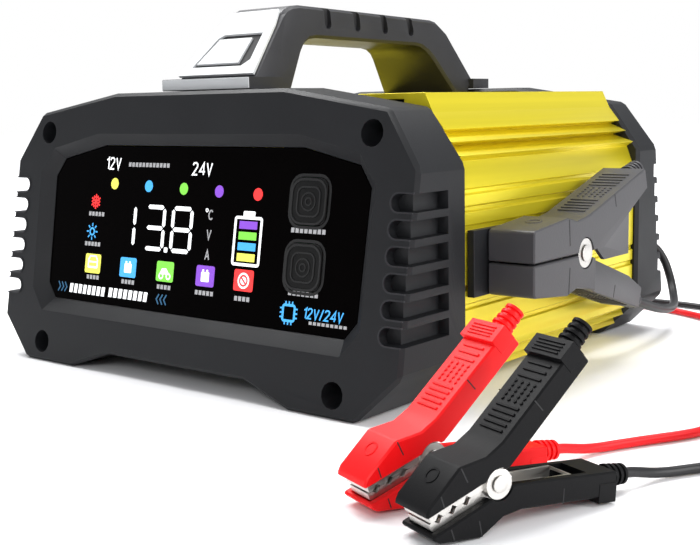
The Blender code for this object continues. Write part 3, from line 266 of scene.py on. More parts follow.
INK = {
    "white": glow("white_light", (0.9, 0.92, 0.93), 0.8),
    "yellow": glow("yellow_light", (0.75, 0.75, 0.1), 0.75),
    "blue": glow("blue_light", (0.05, 0.35, 0.75), 0.8),
    "green": glow("green_light", (0.18, 0.6, 0.06), 0.75),
    "purple": glow("purple_light", (0.2, 0.06, 0.5), 0.85),
    "red": glow("red_light", (0.85, 0.03, 0.03), 0.85),
    "grey": glow("grey_light", (0.35, 0.35, 0.36), 0.5),
    "faint": glow("faint_light", (0.02, 0.1, 0.2), 0.6),
}
CLAMP_LOOK = {"red": RED, "black": BLACK, "parked": SLEEVE_GREY}


# ---------------------------------------------------------------- tools
def piece(name, bm, material, body, matrix=None, edge=0.0, angle=30, segments=2, flat=35):
    """A finished piece: smooth shaded, its edges rounded, placed by matrix and riding on a body."""
    mesh = bpy.data.meshes.new(name)
    bm.to_mesh(mesh)
    bm.free()
    if matrix is not None:
        mesh.transform(matrix)
    mesh.shade_smooth()
    mesh.set_sharp_from_angle(angle=math.radians(flat))
    mesh.materials.append(material)
    made = bpy.data.objects.new(name, mesh)
    scene.collection.objects.link(made)
    if edge:
        bevel = made.modifiers.new("edges", "BEVEL")
        bevel.width = edge
        bevel.segments = segments
        bevel.limit_method = "ANGLE"
        bevel.angle_limit = math.radians(angle)
        bevel.harden_normals = True
    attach(made, body)
    return made


WELD = 2e-6
FLAT_WITHIN = math.radians(0.6)


def soften(node, material, edge, angle=30, segments=3, flat=30):
    """Stands for a CAD node with its flat faces joined up and its edges rounded."""
    source = frame["nodes"][node]
    bm = bmesh.new()
    bm.from_mesh(source.data)
    bmesh.ops.remove_doubles(bm, verts=bm.verts, dist=WELD)
    bmesh.ops.dissolve_limit(
        bm, angle_limit=FLAT_WITHIN, verts=bm.verts, edges=bm.edges, delimit=set()
    )
    name = f"{node}_shape"
    made = piece(name, bm, material, body_of(node), None, edge, angle, segments, flat)
    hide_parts(node)
    return made


def body_of(node):
    for name, nodes in frame["record"]["behaviour"]["bodies"].items():
        if node in nodes:
            return name


def paint(material, *nodes):
    for node in nodes:
        mesh = frame["nodes"][node].data
        for i in range(len(mesh.materials)):
            mesh.materials[i] = material


def block(bm, size, at, turn=None):
    place = Matrix.Translation(at) @ (turn.to_4x4() if turn else Matrix()) @ Matrix.Diagonal((*size, 1))
    bmesh.ops.create_cube(bm, size=1, matrix=place)


def rod(bm, radius, start, end, segments=24, end_radius=None):
    start, end = Vector(start), Vector(end)
    turn = (end - start).to_track_quat("Z", "Y").to_matrix().to_4x4()
    bmesh.ops.create_cone(
        bm,
        cap_ends=True,
        segments=segments,
        radius1=radius,
        radius2=radius if end_radius is None else end_radius,
        depth=(end - start).length,
        matrix=Matrix.Translation((start + end) / 2) @ turn,
    )


def slab(bm, outline, base, right, up, low, high):
    """A flat shape given in right and up, standing between two heights above its own plane."""
    out = right.cross(up)
    rings = [[bm.verts.new(base + right * x + up * z + out * h) for x, z in outline] for h in (low, high)]
    bm.faces.new(rings[1])
    bm.faces.new(rings[0][::-1])
    for i in range(len(outline)):
        k = (i + 1) % len(outline)
        bm.faces.new((rings[0][i], rings[0][k], rings[1][k], rings[1][i]))


def strip(bm, points, width, base, right, up, low, high, closed=False):
    """A ribbon of even width along points, in the same plane as a slab's."""
    points = [Vector(p) for p in points]
    count = len(points)
    sides = []
    for i, here in enumerate(points):
        before = points[i - 1] if i or closed else here
        after = points[(i + 1) % count] if i < count - 1 or closed else here
        a = (here - before).normalized() if before != here else (after - here).normalized()
        b = (after - here).normalized() if after != here else a
        normal = Vector((-a.y - b.y, a.x + b.x)).normalized()
        reach = width / 2 / max(0.4, normal.dot(Vector((-a.y, a.x))))
        sides.append((here + normal * reach, here - normal * reach))
    for i in range(count if closed else count - 1):
        k = (i + 1) % count
        slab(bm, [sides[i][1], sides[k][1], sides[k][0], sides[i][0]], base, right, up, low, high)


def circle(centre, radius, steps=20, start=0.0, sweep=FULL_TURN):
    """Points round a centre, or along an arc when sweep is less than a full turn."""
    closed = abs(sweep) > FULL_TURN - 0.001
    angles = [start + sweep * k / steps for k in range(steps if closed else steps + 1)]
    return [(centre[0] + radius * math.cos(a), centre[1] + radius * math.sin(a)) for a in angles]


def rounded_box(x, z, wide, tall, radius, steps=5):
    result = []
    for i, (sx, sz) in enumerate(((1, 1), (-1, 1), (-1, -1), (1, -1))):
        centre = (x + sx * (wide / 2 - radius), z + sz * (tall / 2 - radius))
        result += circle(centre, radius, steps, math.pi / 2 * i, math.pi / 2)
    return result


def anticlockwise(points):
    """The same outline, turned round if it runs clockwise."""
    area = sum(a[0] * b[1] - b[0] * a[1] for a, b in zip(points, points[1:] + points[:1]))
    return points if area > 0 else points[::-1]


def flipped(bm, flip):
    """Moves a shape by a matrix that may mirror it, with its faces pointing out again."""
    for v in bm.verts:
        v.co = flip @ v.co
    bmesh.ops.recalc_face_normals(bm, faces=bm.faces)


# ---------------------------------------------------------------- leads
# Routes in millimetres, as the design has them. A coil has its centre, the angle where it starts,
# its turns, and 1 or -1 for its way round.
LEAD_THICK = {"red": 3 * MM, "black": 3 * MM, "parked": 4 * MM}
COIL_RADIUS = 17
COIL_FOOT = 1.6
COIL_PITCH = 3.1
LEADS = {
    "black_lead": {
        "start": [
            (188.4, -127.6, 5.8),
            (190.8, -121, 5.2),
            (193.15, -114.5, 4.6),
            (194.5, -110.7, 4.2),
            (195.9, -106.6, 3.3),
            (197.6, -102.2, 2.3),
            (200.2, -97.2, 1.7),
            (203.6, -91.6, 1.6),
            (207.6, -86, 1.6),
            (212.4, -81.4, 1.7),
        ],
        "coil": (222, -62, -90, 3.25, 1),
        "tail": [
            (239.4, -49.6, 10.2),
            (240, -42, 8),
            (240.2, -33, 5),
            (239.8, -22, 2.4),
            (238.4, -8, 1.6),
            (235, 14, 1.6),
            (228.6, 40, 1.6),
            (218, 68, 1.6),
            (202.6, 95, 1.6),
            (182, 119, 1.6),
            (157, 139, 1.6),
            (128, 153, 1.6),
            (98, 160, 1.6),
            (74, 160.5, 1.8),
            (58.6, 157, 4),
            (49.4, 150, 10),
            (45.4, 141, 18),
            (44.2, 131, 23.4),
            (44, 121.6, 24.6),
            (44, 118.3, 24.1),
        ],
    },
    "red_lead": {
        "start": [
            (162.7, -119, 5.8),
            (165.1, -112.4, 5.2),
            (167.45, -105.9, 4.6),
            (168.7, -102.2, 4.2),
            (170, -97.9, 3.3),
            (171.5, -93, 2.3),
            (173.6, -87.4, 1.7),
            (177, -80.6, 1.6),
            (182.4, -71, 1.6),
            (188, -61.6, 1.6),
            (191.6, -53.4, 1.6),
            (192.4, -44.6, 1.6),
            (191.2, -34.4, 1.6),
        ],
        "coil": (207, -22, 180, 3, -1),
        "tail": [
            (190, -9.4, 10.4),
            (190, -2, 8.4),
            (189.6, 6, 5.4),
            (188.4, 16, 2.8),
            (186, 28, 1.6),
            (181.6, 44, 1.6),
            (175, 62, 1.6),
            (165.6, 82, 1.6),
            (152.6, 102, 1.6),
            (137, 119.6, 1.6),
            (118.6, 132.6, 1.6),
            (101, 141, 1.6),
            (86, 145.4, 1.8),
            (75, 146, 4.6),
            (67.4, 142, 12),
            (63.4, 134, 19.4),
            (62.2, 126, 23.8),
            (62, 118.3, 24.1),
        ],
    },
    "parked_lead": {
        "start": [
            (121, 48.6, 22.7),
            (121, 56, 20.4),
            (120.6, 66, 17.4),
            (119.6, 78, 14.4),
            (117.6, 91, 12),
            (114.6, 104, 10.4),
            (110.8, 116, 9.6),
            (106.6, 126, 10.6),
            (102.6, 133.5, 14),
            (99.2, 137.5, 20),
            (96, 138.4, 27),
            (92.5, 136.5, 33),
            (88.6, 131.6, 37),
            (85.4, 125, 38.9),
            (84, 116.1, 38.1),
        ],
        "coil": None,
        "tail": [],
    },
}


def smooth_route(points, parts=5):
    """Points on a smooth curve through a route, at even spacing within each of its spans."""
    points = [Vector(p) * MM for p in points]
    points = [2 * points[0] - points[1], *points, 2 * points[-1] - points[-2]]
    result = []
    for i in range(1, len(points) - 2):
        p0, p1, p2, p3 = points[i - 1 : i + 3]
        for k in range(parts):
            t = k / parts
            bend = (2 * p0 - 5 * p1 + 4 * p2 - p3) * t * t + (3 * p1 - p0 - 3 * p2 + p3) * t**3
            result.append((2 * p1 + (p2 - p0) * t + bend) / 2)
    return result + [points[-2]]


def coil_turns(x, y, start, turns, way):
    """Stacked turns, rising evenly from the floor to the height where the tail leaves."""
    steps = round(24 * turns)
    result = []
    for k in range(1, steps):
        a = math.radians(start) + way * 2 * math.pi * turns * k / steps
        height = COIL_FOOT + COIL_PITCH * turns * k / steps
        result.append((x + COIL_RADIUS * math.cos(a), y + COIL_RADIUS * math.sin(a), height))
    return result


def leads():
    made = {}
    for name, parts in LEADS.items():
        colour = name.split("_")[0]
        thick = LEAD_THICK[colour]
        route = list(parts["start"])
        if parts["coil"]:
            route += coil_turns(*parts["coil"])
        route += parts["tail"]
        points = smooth_route(route, 3 if parts["coil"] else 5)[::-1]
        curve = bpy.data.curves.new(name, "CURVE")
        curve.dimensions = "3D"
        curve.bevel_depth = thick / 2
        curve.bevel_resolution = 5
        curve.use_fill_caps = True
        spline = curve.splines.new("POLY")
        spline.points.add(len(points) - 1)
        for point, place in zip(spline.points, points):
            point.co = (*place, 1)
        spline.use_smooth = True
        curve.materials.append(RED_LEAD if colour == "red" else BLACK_LEAD)
        lead = bpy.data.objects.new(f"{colour}_cable", curve)
        scene.collection.objects.link(lead)
        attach(lead, ROOT)
        nodes = [n for n in frame["nodes"] if n.startswith(name)]
        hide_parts(*nodes)
        length = sum((b - a).length for a, b in zip(points, points[1:]))
        made[colour] = (lead, points[0], length, thick)
    return made


# ---------------------------------------------------------------- display
GLASS_RIGHT = Vector((1, 0, 0))
GLASS_UP = Vector((0, FRONT_LEAN, 1))


def on_glass(shapes, name, material, lift):
    """Flat shapes on the display glass, given in millimetres across and above the floor."""
    bm = bmesh.new()
    base = Vector((0, GLASS_Y, 0))
    low = 0.01 * MM
    for kind, points, width in shapes:
        if kind == "fill":
            slab(bm, [(x * MM, z * MM) for x, z in points], base, GLASS_RIGHT, GLASS_UP, low, lift * MM)
        else:
            line = [(x * MM, z * MM) for x, z in points]
            strip(bm, line, width * MM, base, GLASS_RIGHT, GLASS_UP, low, lift * MM, kind == "loop")
    return piece(name, bm, material, ROOT, flat=30)


def segments(x, z, wide, tall, lit, thick=1.7):
    """One figure of a seven-segment display, in bars with pointed ends."""
    half, mid, gap = thick / 2, tall / 2, 0.45
    bars = {
        "a": ((x, z + tall), (x + wide, z + tall)),
        "b": ((x + wide, z + tall), (x + wide, z + mid)),
        "c": ((x + wide, z + mid), (x + wide, z)),
        "d": ((x, z), (x + wide, z)),
        "e": ((x, z), (x, z + mid)),
        "f": ((x, z + mid), (x, z + tall)),
        "g": ((x, z + mid), (x + wide, z + mid)),
    }
    shapes = []
    for key in lit:
        a, b = (Vector(p) for p in bars[key])
        along = (b - a).normalized()
        side = Vector((-along.y, along.x)) * half
        a, b = a + along * gap, b - along * gap
        near, far = a + along * half, b - along * half
        outline = [a, near - side, far - side, b, far + side, near + side]
        shapes.append(("fill", [tuple(p) for p in outline], 0))
    return shapes


GLYPHS = {
    "1": [[(0.15, 0.78), (0.5, 1), (0.5, 0)]],
    "2": [[(0.02, 0.8), (0.15, 0.97), (0.5, 1), (0.72, 0.88), (0.7, 0.65), (0.02, 0), (0.75, 0)]],
    "4": [[(0.6, 0), (0.6, 1), (0, 0.28), (0.8, 0.28)]],
    "V": [[(0, 1), (0.38, 0), (0.76, 1)]],
    "A": [[(0, 0), (0.38, 1), (0.76, 0)], [(0.14, 0.34), (0.62, 0.34)]],
    "C": [
        [(0.75, 0.85), (0.5, 1), (0.2, 0.95), (0, 0.6), (0, 0.35), (0.2, 0.05), (0.5, 0), (0.75, 0.15)],
    ],
    "/": [[(0, -0.05), (0.4, 1.05)]],
}


def figures(text, x, z, tall, thick, lean=0.0):
    """Plain numerals and unit letters, drawn as strokes."""
    shapes = []
    for mark in text:
        for stroke in GLYPHS[mark]:
            line = [(x + (u + lean * v) * tall * 0.78, z + v * tall) for u, v in stroke]
            shapes.append(("line", line, thick))
        x += tall * (0.58 if mark in "1/" else 0.86)
    return shapes


def ticks(x, z, count, pitch, wide, tall, lean=0.0):
    """A row of small slanted bars."""
    shapes = []
    for k in range(count):
        left = x + k * pitch
        outline = [(left, z), (left + wide, z), (left + wide + lean, z + tall), (left + lean, z + tall)]
        shapes.append(("fill", outline, 0))
    return shapes


def white_marks():
    """The big figures, the voltages, the battery's outline, and what is white on the tiles."""
    white = segments(-43.6, 51.4, 10.2, 16.4, "bc", 1.7) + segments(-26.2, 51.2, 10.4, 16.6, "abcdg", 1.7)
    white += segments(-10.6, 51.2, 10.6, 16.6, "abcdefg", 1.7)
    white += [("fill", rounded_box(-13.4, 51.2, 2, 2, 0.5), 0)]
    white += figures("12V", -54.6, 82.4, 4.6, 0.62) + figures("24V", -1.8, 81.2, 4.6, 0.62)
    white += [("loop", rounded_box(30.8, 57.2, 13.4, 17.4, 0.8), 1.1)]
    white += [("fill", rounded_box(30.9, 67.3, 6, 2.2, 0.5), 0)]
    white += ticks(-71.8, 29.6, 8, 3, 2, 3.8, 0.4) + ticks(-46, 29.8, 8, 3.1, 2.1, 3.8, 0.4)
    white += [("fill", rounded_box(x, 42.4, 4.4, 3.8, 0.4), 0) for x in (-35.1, 10.2)]
    white += ticks(-36.8, 44.4, 2, 2.2, 1, 0.8) + ticks(8.5, 44.4, 2, 2.2, 1, 0.8)
    white += [("fill", circle((30.8, 42.6), 3), 0)]
    white += [("fill", [(-15.6, 41.6), (-14.6, 43.8), (-12, 44), (-10.6, 42.4), (-9.6, 41.6)], 0)]
    white += [("loop", circle((x, 40.9), 1.1, 12), 0.6) for x in (-14.8, -10.6)]
    return white + [("loop", circle((8.2, 67.8), 0.6, 10), 0.35)]


def grey_marks():
    """The units, and rows of bars in place of the printed words."""
    grey = []
    for unit, x, z, tall in (("C", 9.4, 64.4, 3.4), ("V", 9.2, 56.8, 3.6), ("A", 9.2, 49, 3.6)):
        grey += figures(unit, x, z, tall, 0.55)
    for x, z, count in ((-40, 83.6, 12), (-63, 62.6, 5), (-64, 50, 5), (-61, 36.2, 4), (-38.4, 36, 4)):
        grey += ticks(x, z, count, 2.1, 1.5, 1.7)
    for x, z, count in ((-16.6, 35.7, 4), (5.4, 35.4, 5), (26.8, 35, 4), (52.4, 61.8, 8), (53.6, 39.4, 7)):
        grey += ticks(x, z, count, 2.1, 1.5, 1.7)
    return grey + ticks(64.6, 29.9, 9, 2, 1.4, 1.1)


def coloured_marks():
    """The dots, tiles, battery bars and small pictograms, as shapes for each ink."""
    inks = {key: [] for key in ("yellow", "blue", "green", "purple", "red", "faint")}
    dots = zip(("yellow", "blue", "green", "purple", "red"), (-47.9, -26.6, -5.9, 13.9, 34.4))
    for ink, x in dots:
        inks[ink].append(("fill", circle((x, 76.4 - (x + 48) * 0.02), 2.35), 0))
    tiles = zip(("yellow", "blue", "green", "purple", "red"), (-57.7, -35.1, -12.7, 10.2, 30.8))
    for ink, x in tiles:
        inks[ink].append(("fill", rounded_box(x, 42.7, 10, 8, 0.9), 0))
    for ink, z in (("purple", 63.2), ("green", 59.2), ("blue", 55.2), ("yellow", 51.2)):
        inks[ink].append(("fill", rounded_box(30.8, z, 9.2, 2.9, 0.2), 0))
    for k in range(3):
        a = math.pi / 3 * k + math.pi / 6
        x, z = 3.1 * math.cos(a), 3.1 * math.sin(a)
        inks["red"].append(("line", [(-59.2 - x, 68.6 - z), (-59.2 + x, 68.6 + z)], 0.7))
        for s in (1, -1):
            for t in (a + 0.6, a - 0.6):
                tip = (-59.2 + s * 2.7 * math.cos(t), 68.6 + s * 2.7 * math.sin(t))
                root = (-59.2 + s * x * 0.5, 68.6 + s * z * 0.5)
                inks["red"].append(("line", [root, tip], 0.5))
    inks["blue"].append(("loop", circle((-60, 56), 1.4, 16), 0.7))
    for k in range(8):
        a = math.pi / 4 * k
        ends = [(-60 + r * math.cos(a), 56 + r * math.sin(a)) for r in (2.2, 3.5)]
        inks["blue"].append(("line", ends, 0.6))
    inks["blue"] += [("loop", rounded_box(54.6, 33, 5.6, 5.6, 0.8), 0.9)]
    inks["blue"] += figures("12V/24V", 61.4, 32, 3.5, 0.55, 0.15)
    for k in (-1.6, 0, 1.6):
        for z in (36.2, 28.8):
            inks["blue"].append(("line", [(54.6 + k, z), (54.6 + k, z + 1)], 0.6))
        for x in (57.8, 50.4):
            inks["blue"].append(("line", [(x, 33 + k), (x + 1, 33 + k)], 0.6))
    for k in range(3):
        for x, point in ((-79.6, 1.4), (-15, -1.4)):
            x += 2.2 * k
            inks["faint"].append(("line", [(x, 33.6), (x + point, 31.6), (x, 29.6)], 0.6))
    return inks


def display():
    soften("display_lens", GLASS, 0.25 * MM, flat=25)
    on_glass(white_marks(), "display_white", INK["white"], 0.1)
    on_glass(grey_marks(), "display_labels", INK["grey"], 0.08)
    for ink, shapes in coloured_marks().items():
        on_glass(shapes, f"display_{ink}", INK[ink], 0.07)
    sign = [("loop", circle((30.8, 42.6), 1.9, 16), 0.7), ("line", [(29.5, 43.9), (32.1, 41.3)], 0.7)]
    on_glass(sign, "display_sign", INK["red"], 0.14)
    cabin = [(-60.6, 41), (-60.6, 44.2), (-59.6, 45.8), (-55.8, 45.8), (-54.8, 44.2), (-54.8, 41)]
    car = [("line", cabin, 0.6)]
    car += [("line", [(-60.6, 43.4), (-54.8, 43.4)], 0.6), ("line", [(-60.6, 41.2), (-54.8, 41.2)], 0.8)]
    on_glass(car, "display_car", INK["white"], 0.14)


def corner_masks(x, z, wide):
    """Four shapes that round off the corners of a square, in millimetres."""
    mask = []
    corner = wide / 2
    for sx in (1, -1):
        for sz in (1, -1):
            first = 0 if sx > 0 else math.pi
            centre = (sx * (corner - 4.6), sz * (corner - 4.6))
            points = circle(centre, 4.7, 6, first, sx * sz * math.pi / 2)
            points.append((sx * (corner + 0.9), sz * (corner + 0.9)))
            mask.append(("fill", anticlockwise([(x + px, z + pz) for px, pz in points]), 0))
    return mask


def keys():
    """Raised rounded-square rings on each button, and a frame around it on the glass."""
    for name in ("current_button", "function_button"):
        soften(name, KEY, 0.4 * MM, segments=2)
        low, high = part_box(name)
        middle = (Vector(low) + Vector(high)) / 2
        wide = high[0] - low[0]
        base = Vector((middle.x, GLASS_Y + FRONT_LEAN * middle.z - 0.72 * MM, middle.z))
        out = GLASS_UP.normalized()
        bm = bmesh.new()
        for size, width, corner in ((0.94, 0.8, 0.3), (0.62, 0.6, 0.26)):
            line = rounded_box(0, 0, wide * size, wide * size, wide * size * corner)
            strip(bm, line, width * MM, base, GLASS_RIGHT, out, -0.05 * MM, 0.25 * MM, True)
        for radius, width in ((0.19, 0.5), (0.08, 0.5)):
            line = circle((0, 0), wide * radius)
            strip(bm, line, width * MM, base, GLASS_RIGHT, out, -0.05 * MM, 0.2 * MM, True)
        piece(f"{name}_rings", bm, KEY_RING, name)
        x, z, wide = middle.x / MM, middle.z / MM, wide / MM
        on_glass(corner_masks(x, z, wide), f"{name}_corners", GLASS, 0.08)
        ring = [("loop", rounded_box(x, z, wide + 1.6, wide + 1.6, 5.2), 1.1)]
        on_glass(ring, f"{name}_surround", KEY_RING, 0.12)


# ---------------------------------------------------------------- body
def slot_ends():
    """Rounds the inner end of each slot on both caps, with a thin raised rim around it."""
    fill, rim = bmesh.new(), bmesh.new()
    for y, lean, out in ((FRONT_Y, FRONT_LEAN, -1), (REAR_Y, -REAR_LEAN, 1)):
        for z in SLOT_HEIGHTS:
            for side in (1, -1):
                base = Vector((side * SLOT_IN, y + lean * z, z))
                up = Vector((0, lean, 1))
                right = Vector((1, 0, 0)) if out < 0 else Vector((-1, 0, 0))
                way = side * right.x
                for top in (1, -1):
                    first = math.pi / 2 * top
                    arc = circle((way * SLOT_HALF, 0), SLOT_HALF, 8, first, way * first)
                    corner = anticlockwise([(0, top * SLOT_HALF)] + arc)
                    slab(fill, corner, base, right, up, -SLOT_DEEP, 0)
                half = SLOT_HALF + 0.2 * MM
                loop = circle((way * SLOT_HALF, 0), half, 12, math.pi / 2, way * math.pi)
                line = [(way * RIM_LENGTH, half)] + loop + [(way * RIM_LENGTH, -half)]
                strip(rim, line, RIM_WIDTH, base, right, up, -0.3 * MM, RIM_OUT)
    bmesh.ops.recalc_face_normals(fill, faces=fill.faces)
    bmesh.ops.recalc_face_normals(rim, faces=rim.faces)
    piece("slot_ends", fill, PLASTIC, ROOT)
    piece("slot_rims", rim, GRIP, ROOT)


NOTCH_FIRST = -24.5
NOTCH_PITCH = 19.6
NOTCH_HALF = 2.1
GRIP_EDGE = 15.4 * MM  # from the middle plane to the notched side
GRIP_FALL = 0.018  # how far the grip's top goes down for each unit towards the rear
PLATE_OUTLINE = [(-20.9, 7.2), (20.9, 7.2), (16.2, 34), (13.6, 42.4), (-13.6, 42.4), (-16.2, 34)]
PLATE_HOLE = [(-15.6, 11.6), (11.6, 11.6), (14.6, 14.8), (12.6, 29.4), (-8.6, 29.4), (-11.2, 27.4)]
PLATE_PANEL = [(-14.6, 13.4), (8.8, 13.4), (8.2, 27.2), (-10, 27.2)]


def notches():
    """What is cut from the grip: four notches, each over both edges and across the top."""
    cutter = bmesh.new()
    for k in range(4):
        y = (NOTCH_FIRST + NOTCH_PITCH * k) * MM
        for side in (1, -1):
            turns = (0, -0.6, -1.2, -1.9, -2.5, -math.pi)
            ends = [(NOTCH_HALF * math.cos(a), -6.8 + NOTCH_HALF * math.sin(a)) for a in turns]
            outline = [(-NOTCH_HALF, 6), (NOTCH_HALF, 6)] + ends
            base = Vector((side * GRIP_EDGE, y, 147 * MM - GRIP_FALL * y))
            shape = [(side * u * MM, v * MM) for u, v in outline][::side]
            right, up = Vector((0, side, 0)), Vector((0, 0, 1))
            slab(cutter, shape, base, right, up, -1.3 * MM, 2 * MM)
        across = (24 * MM, 2 * NOTCH_HALF * MM, 3.6 * MM)
        block(cutter, across, (0, y, 148.2 * MM - GRIP_FALL * y))
    bmesh.ops.recalc_face_normals(cutter, faces=cutter.faces)
    return cutter


def handle():
    """The notched grip, and a plate on the front leg with a panel in its sunk window: plate, panel and lip
    are painted pale as a highlight of the light on the leg's face, and the window's recess holds a painted
    shade.
    """
    carve(soften("handle", GRIP, 1.2 * MM, 25), notches())
    right, rise = Vector((1, 0, 0)), Vector((0, 31.5, 33.9)).normalized()
    foot = Vector((0, -80 * MM, 113.9 * MM))
    plate = bmesh.new()
    holed_plate(plate, PLATE_OUTLINE, PLATE_HOLE, foot, right, rise, 0.0, 1.1 * MM)
    piece("handle_plate", plate, PAINTED_HIGHLIGHT, ROOT, edge=0.15 * MM)
    panel = bmesh.new()
    shape = [(x * MM, z * MM) for x, z in PLATE_PANEL]
    slab(panel, shape, foot, right, rise, -0.1 * MM, 0.95 * MM)
    piece("handle_panel", panel, PAINTED_HIGHLIGHT, ROOT, edge=0.2 * MM)
    # Painted shade: a near-black sheet in the plate's window, for the shadow in the recess round the panel
    shade = bmesh.new()
    shape = [(x * MM, z * MM) for x, z in PLATE_HOLE]
    slab(shade, shape, foot, right, rise, -0.1 * MM, 0.1 * MM)
    piece("handle_recess_shade", shade, PAINTED_SHADE, ROOT)
    # The lip is painted pale too, as a highlight
    lip = bmesh.new()
    block(lip, (48.2 * MM, 0.6 * MM, 4.2 * MM), (0, -81.7 * MM, 116.2 * MM))
    piece("handle_lip", lip, PAINTED_HIGHLIGHT, ROOT, edge=0.2 * MM)


def holed_plate(bm, outer, inner, base, right, up, low, high):
    """A flat plate with a hole, both outlines in millimetres: a filled ring standing off its plane."""
    out = right.cross(up)
    loops = []
    for points in (outer, inner):
        for h in (low, high):
            loops.append([bm.verts.new(base + right * x * MM + up * z * MM + out * h) for x, z in points])
    for low_loop, high_loop in (loops[:2], loops[2:]):
        for i in range(len(low_loop)):
            k = (i + 1) % len(low_loop)
            bm.faces.new((low_loop[i], low_loop[k], high_loop[k], high_loop[i]))
    for outer_loop, inner_loop in ((loops[0], loops[2]), (loops[1], loops[3])):
        edges = []
        for loop in (outer_loop, inner_loop):
            for i in range(len(loop)):
                edges.append(bm.edges.get((loop[i], loop[(i + 1) % len(loop)])))
        bmesh.ops.triangle_fill(bm, edges=edges, use_beauty=True)
    bmesh.ops.recalc_face_normals(bm, faces=bm.faces)


def carve(target, bm):
    """Cuts a shape out of a piece, before its edges are rounded."""
    mesh = bpy.data.meshes.new("cutter")
    bm.to_mesh(mesh)
    bm.free()
    tool = bpy.data.objects.new("cutter", mesh)
    scene.collection.objects.link(tool)
    step = target.modifiers.new("carve", "BOOLEAN")
    step.operation = "DIFFERENCE"
    step.object = tool
    step.solver = "EXACT"
    target.modifiers.move(len(target.modifiers) - 1, 0)
    depsgraph = bpy.context.evaluated_depsgraph_get()
    kept = [m for m in target.modifiers if m.name != "carve"]
    for modifier in kept:
        modifier.show_viewport = modifier.show_render = False
    depsgraph.update()
    done = bpy.data.meshes.new_from_object(target.evaluated_get(depsgraph))
    target.modifiers.remove(step)
    for modifier in kept:
        modifier.show_viewport = modifier.show_render = True
    target.data = done
    bpy.data.objects.remove(tool)


def body():
    soften("front_bezel", PLASTIC, 0.7 * MM, 28)
    soften("rear_cap", PLASTIC, 0.7 * MM, 28)
    soften("housing", YELLOW, 0.3 * MM, 20, 2)
    slot_ends()
    handle()


# ---------------------------------------------------------------- clamps
# Sizes in millimetres, in the clamp's own frame. The handle starts behind the pivot and above it, and
# runs back at an angle. The last four are the looks': a grip row has its two ends as shares of the
# handle and its count of ribs, columns is for the diamonds, and seam and foot are a seam's width and
# the height where it starts.
LOOSE = {
    "start": 4.2,
    "rise": 9.9,
    "length": 32.5,
    "thick": 6.8,
    "angle": 23.5,
    "width": 14.3,
    "boot": 8,
    "boot_radius": 2.9,
    "jaw": 22.5,
    "nose": 5.2,
    "belly_x": 9.6,
    "belly": 10.3,
    "grip_rows": ((0.08, 0.3, 5), (0.6, 0.74, 3)),
    "columns": 4,
    "seam": 0.35,
    "foot": 3.2,
}
PARKED = {
    "start": 3,
    "rise": 14.2,
    "length": 50,
    "thick": 8.5,
    "angle": 17,
    "width": 19,
    "boot": 10,
    "boot_radius": 3.6,
    "jaw": 39,
    "nose": 12,
    "belly_x": 14,
    "belly": 14.4,
    "grip_rows": ((0.06, 0.28, 5), (0.6, 0.84, 5)),
    "columns": 5,
    "seam": 0.55,
    "foot": 1.6,
}
PIVOTS = {"parked": (121, -13.4, 50.5), "black": (176.7, -159.7, 12.81), "red": (151, -151.1, 12.81)}


def clamp_frame(colour):
    """The clamp's own frame, in millimetres: nose along +X, upper half towards +Z."""
    heading, tilt = (-90, 0) if colour == "parked" else (-110, 18.5)
    turn = Matrix.Rotation(math.radians(heading), 4, "Z") @ Matrix.Rotation(math.radians(tilt), 4, "Y")
    return Matrix.Diagonal((MM, MM, MM, 1)) @ Matrix.Translation(PIVOTS[colour]) @ turn


def grip_shape(sizes, loose):
    """Ribs across the upper handle, diamonds between them, a loose clamp's stop, and the boot's rings."""
    bm = bmesh.new()
    angle = math.radians(sizes["angle"])
    back = Vector((-math.cos(angle), 0, math.sin(angle)))
    out = Vector((math.sin(angle), 0, math.cos(angle)))
    start = Vector((-sizes["start"], 0, sizes["rise"]))
    tilt = Matrix.Rotation(angle, 4, "Y")
    wide, long = sizes["width"], sizes["length"]
    grip = wide * 0.62
    for first, last, count in sizes["grip_rows"]:
        for k in range(count):
            t = long * (first + (last - first) * k / (count - 1))
            block(bm, (0.8, grip, 0.6), start + back * t + out * 0.1, tilt)
    columns = sizes["columns"]
    diamond = tilt @ Matrix.Rotation(math.pi / 4, 4, "Z")
    for i in range(columns):
        for k in range(5):
            t = long * (0.36 + 0.18 * k / 4)
            y = grip * (i / (columns - 1) - 0.5) * 0.84
            block(bm, (0.9, 0.9, 0.5), start + back * t + out * 0.1 + Vector((0, y, 0)), diamond)
    if loose:
        stop = start + back * long * 0.9 + out * -1.2
        block(bm, (long * 0.19, wide * 1.02, 5.4), stop, tilt)
        for k in range(4):
            t = long * (0.85 + 0.033 * k)
            block(bm, (0.5, wide * 0.7, 0.5), start + back * t + out * 1.6, tilt)
    end = start + back * (long + 0.5) - out * sizes["thick"] / 2
    for k in range(4):
        t = sizes["boot"] * (0.16 + 0.24 * k)
        radius = sizes["boot_radius"] * (1.16 - 0.045 * k)
        rod(bm, radius, end + back * t, end + back * (t + sizes["boot"] * 0.12), 24)
    return bm


def ring_shape(sizes):
    """A thin raised ring on the upper half's nose."""
    bm = bmesh.new()
    wide = sizes["width"]
    slope = Vector((sizes["jaw"] - 1.6 - sizes["belly_x"], 0, sizes["nose"] - sizes["belly"]))
    middle = Vector((sizes["belly_x"], 0, sizes["belly"])) + slope * 0.38
    right, up = Vector((0, 1, 0)), slope.normalized() * -1
    strip(bm, circle((0, 0), wide * 0.14), wide * 0.045, middle, right, up, -0.1, 0.22, True)
    return bm


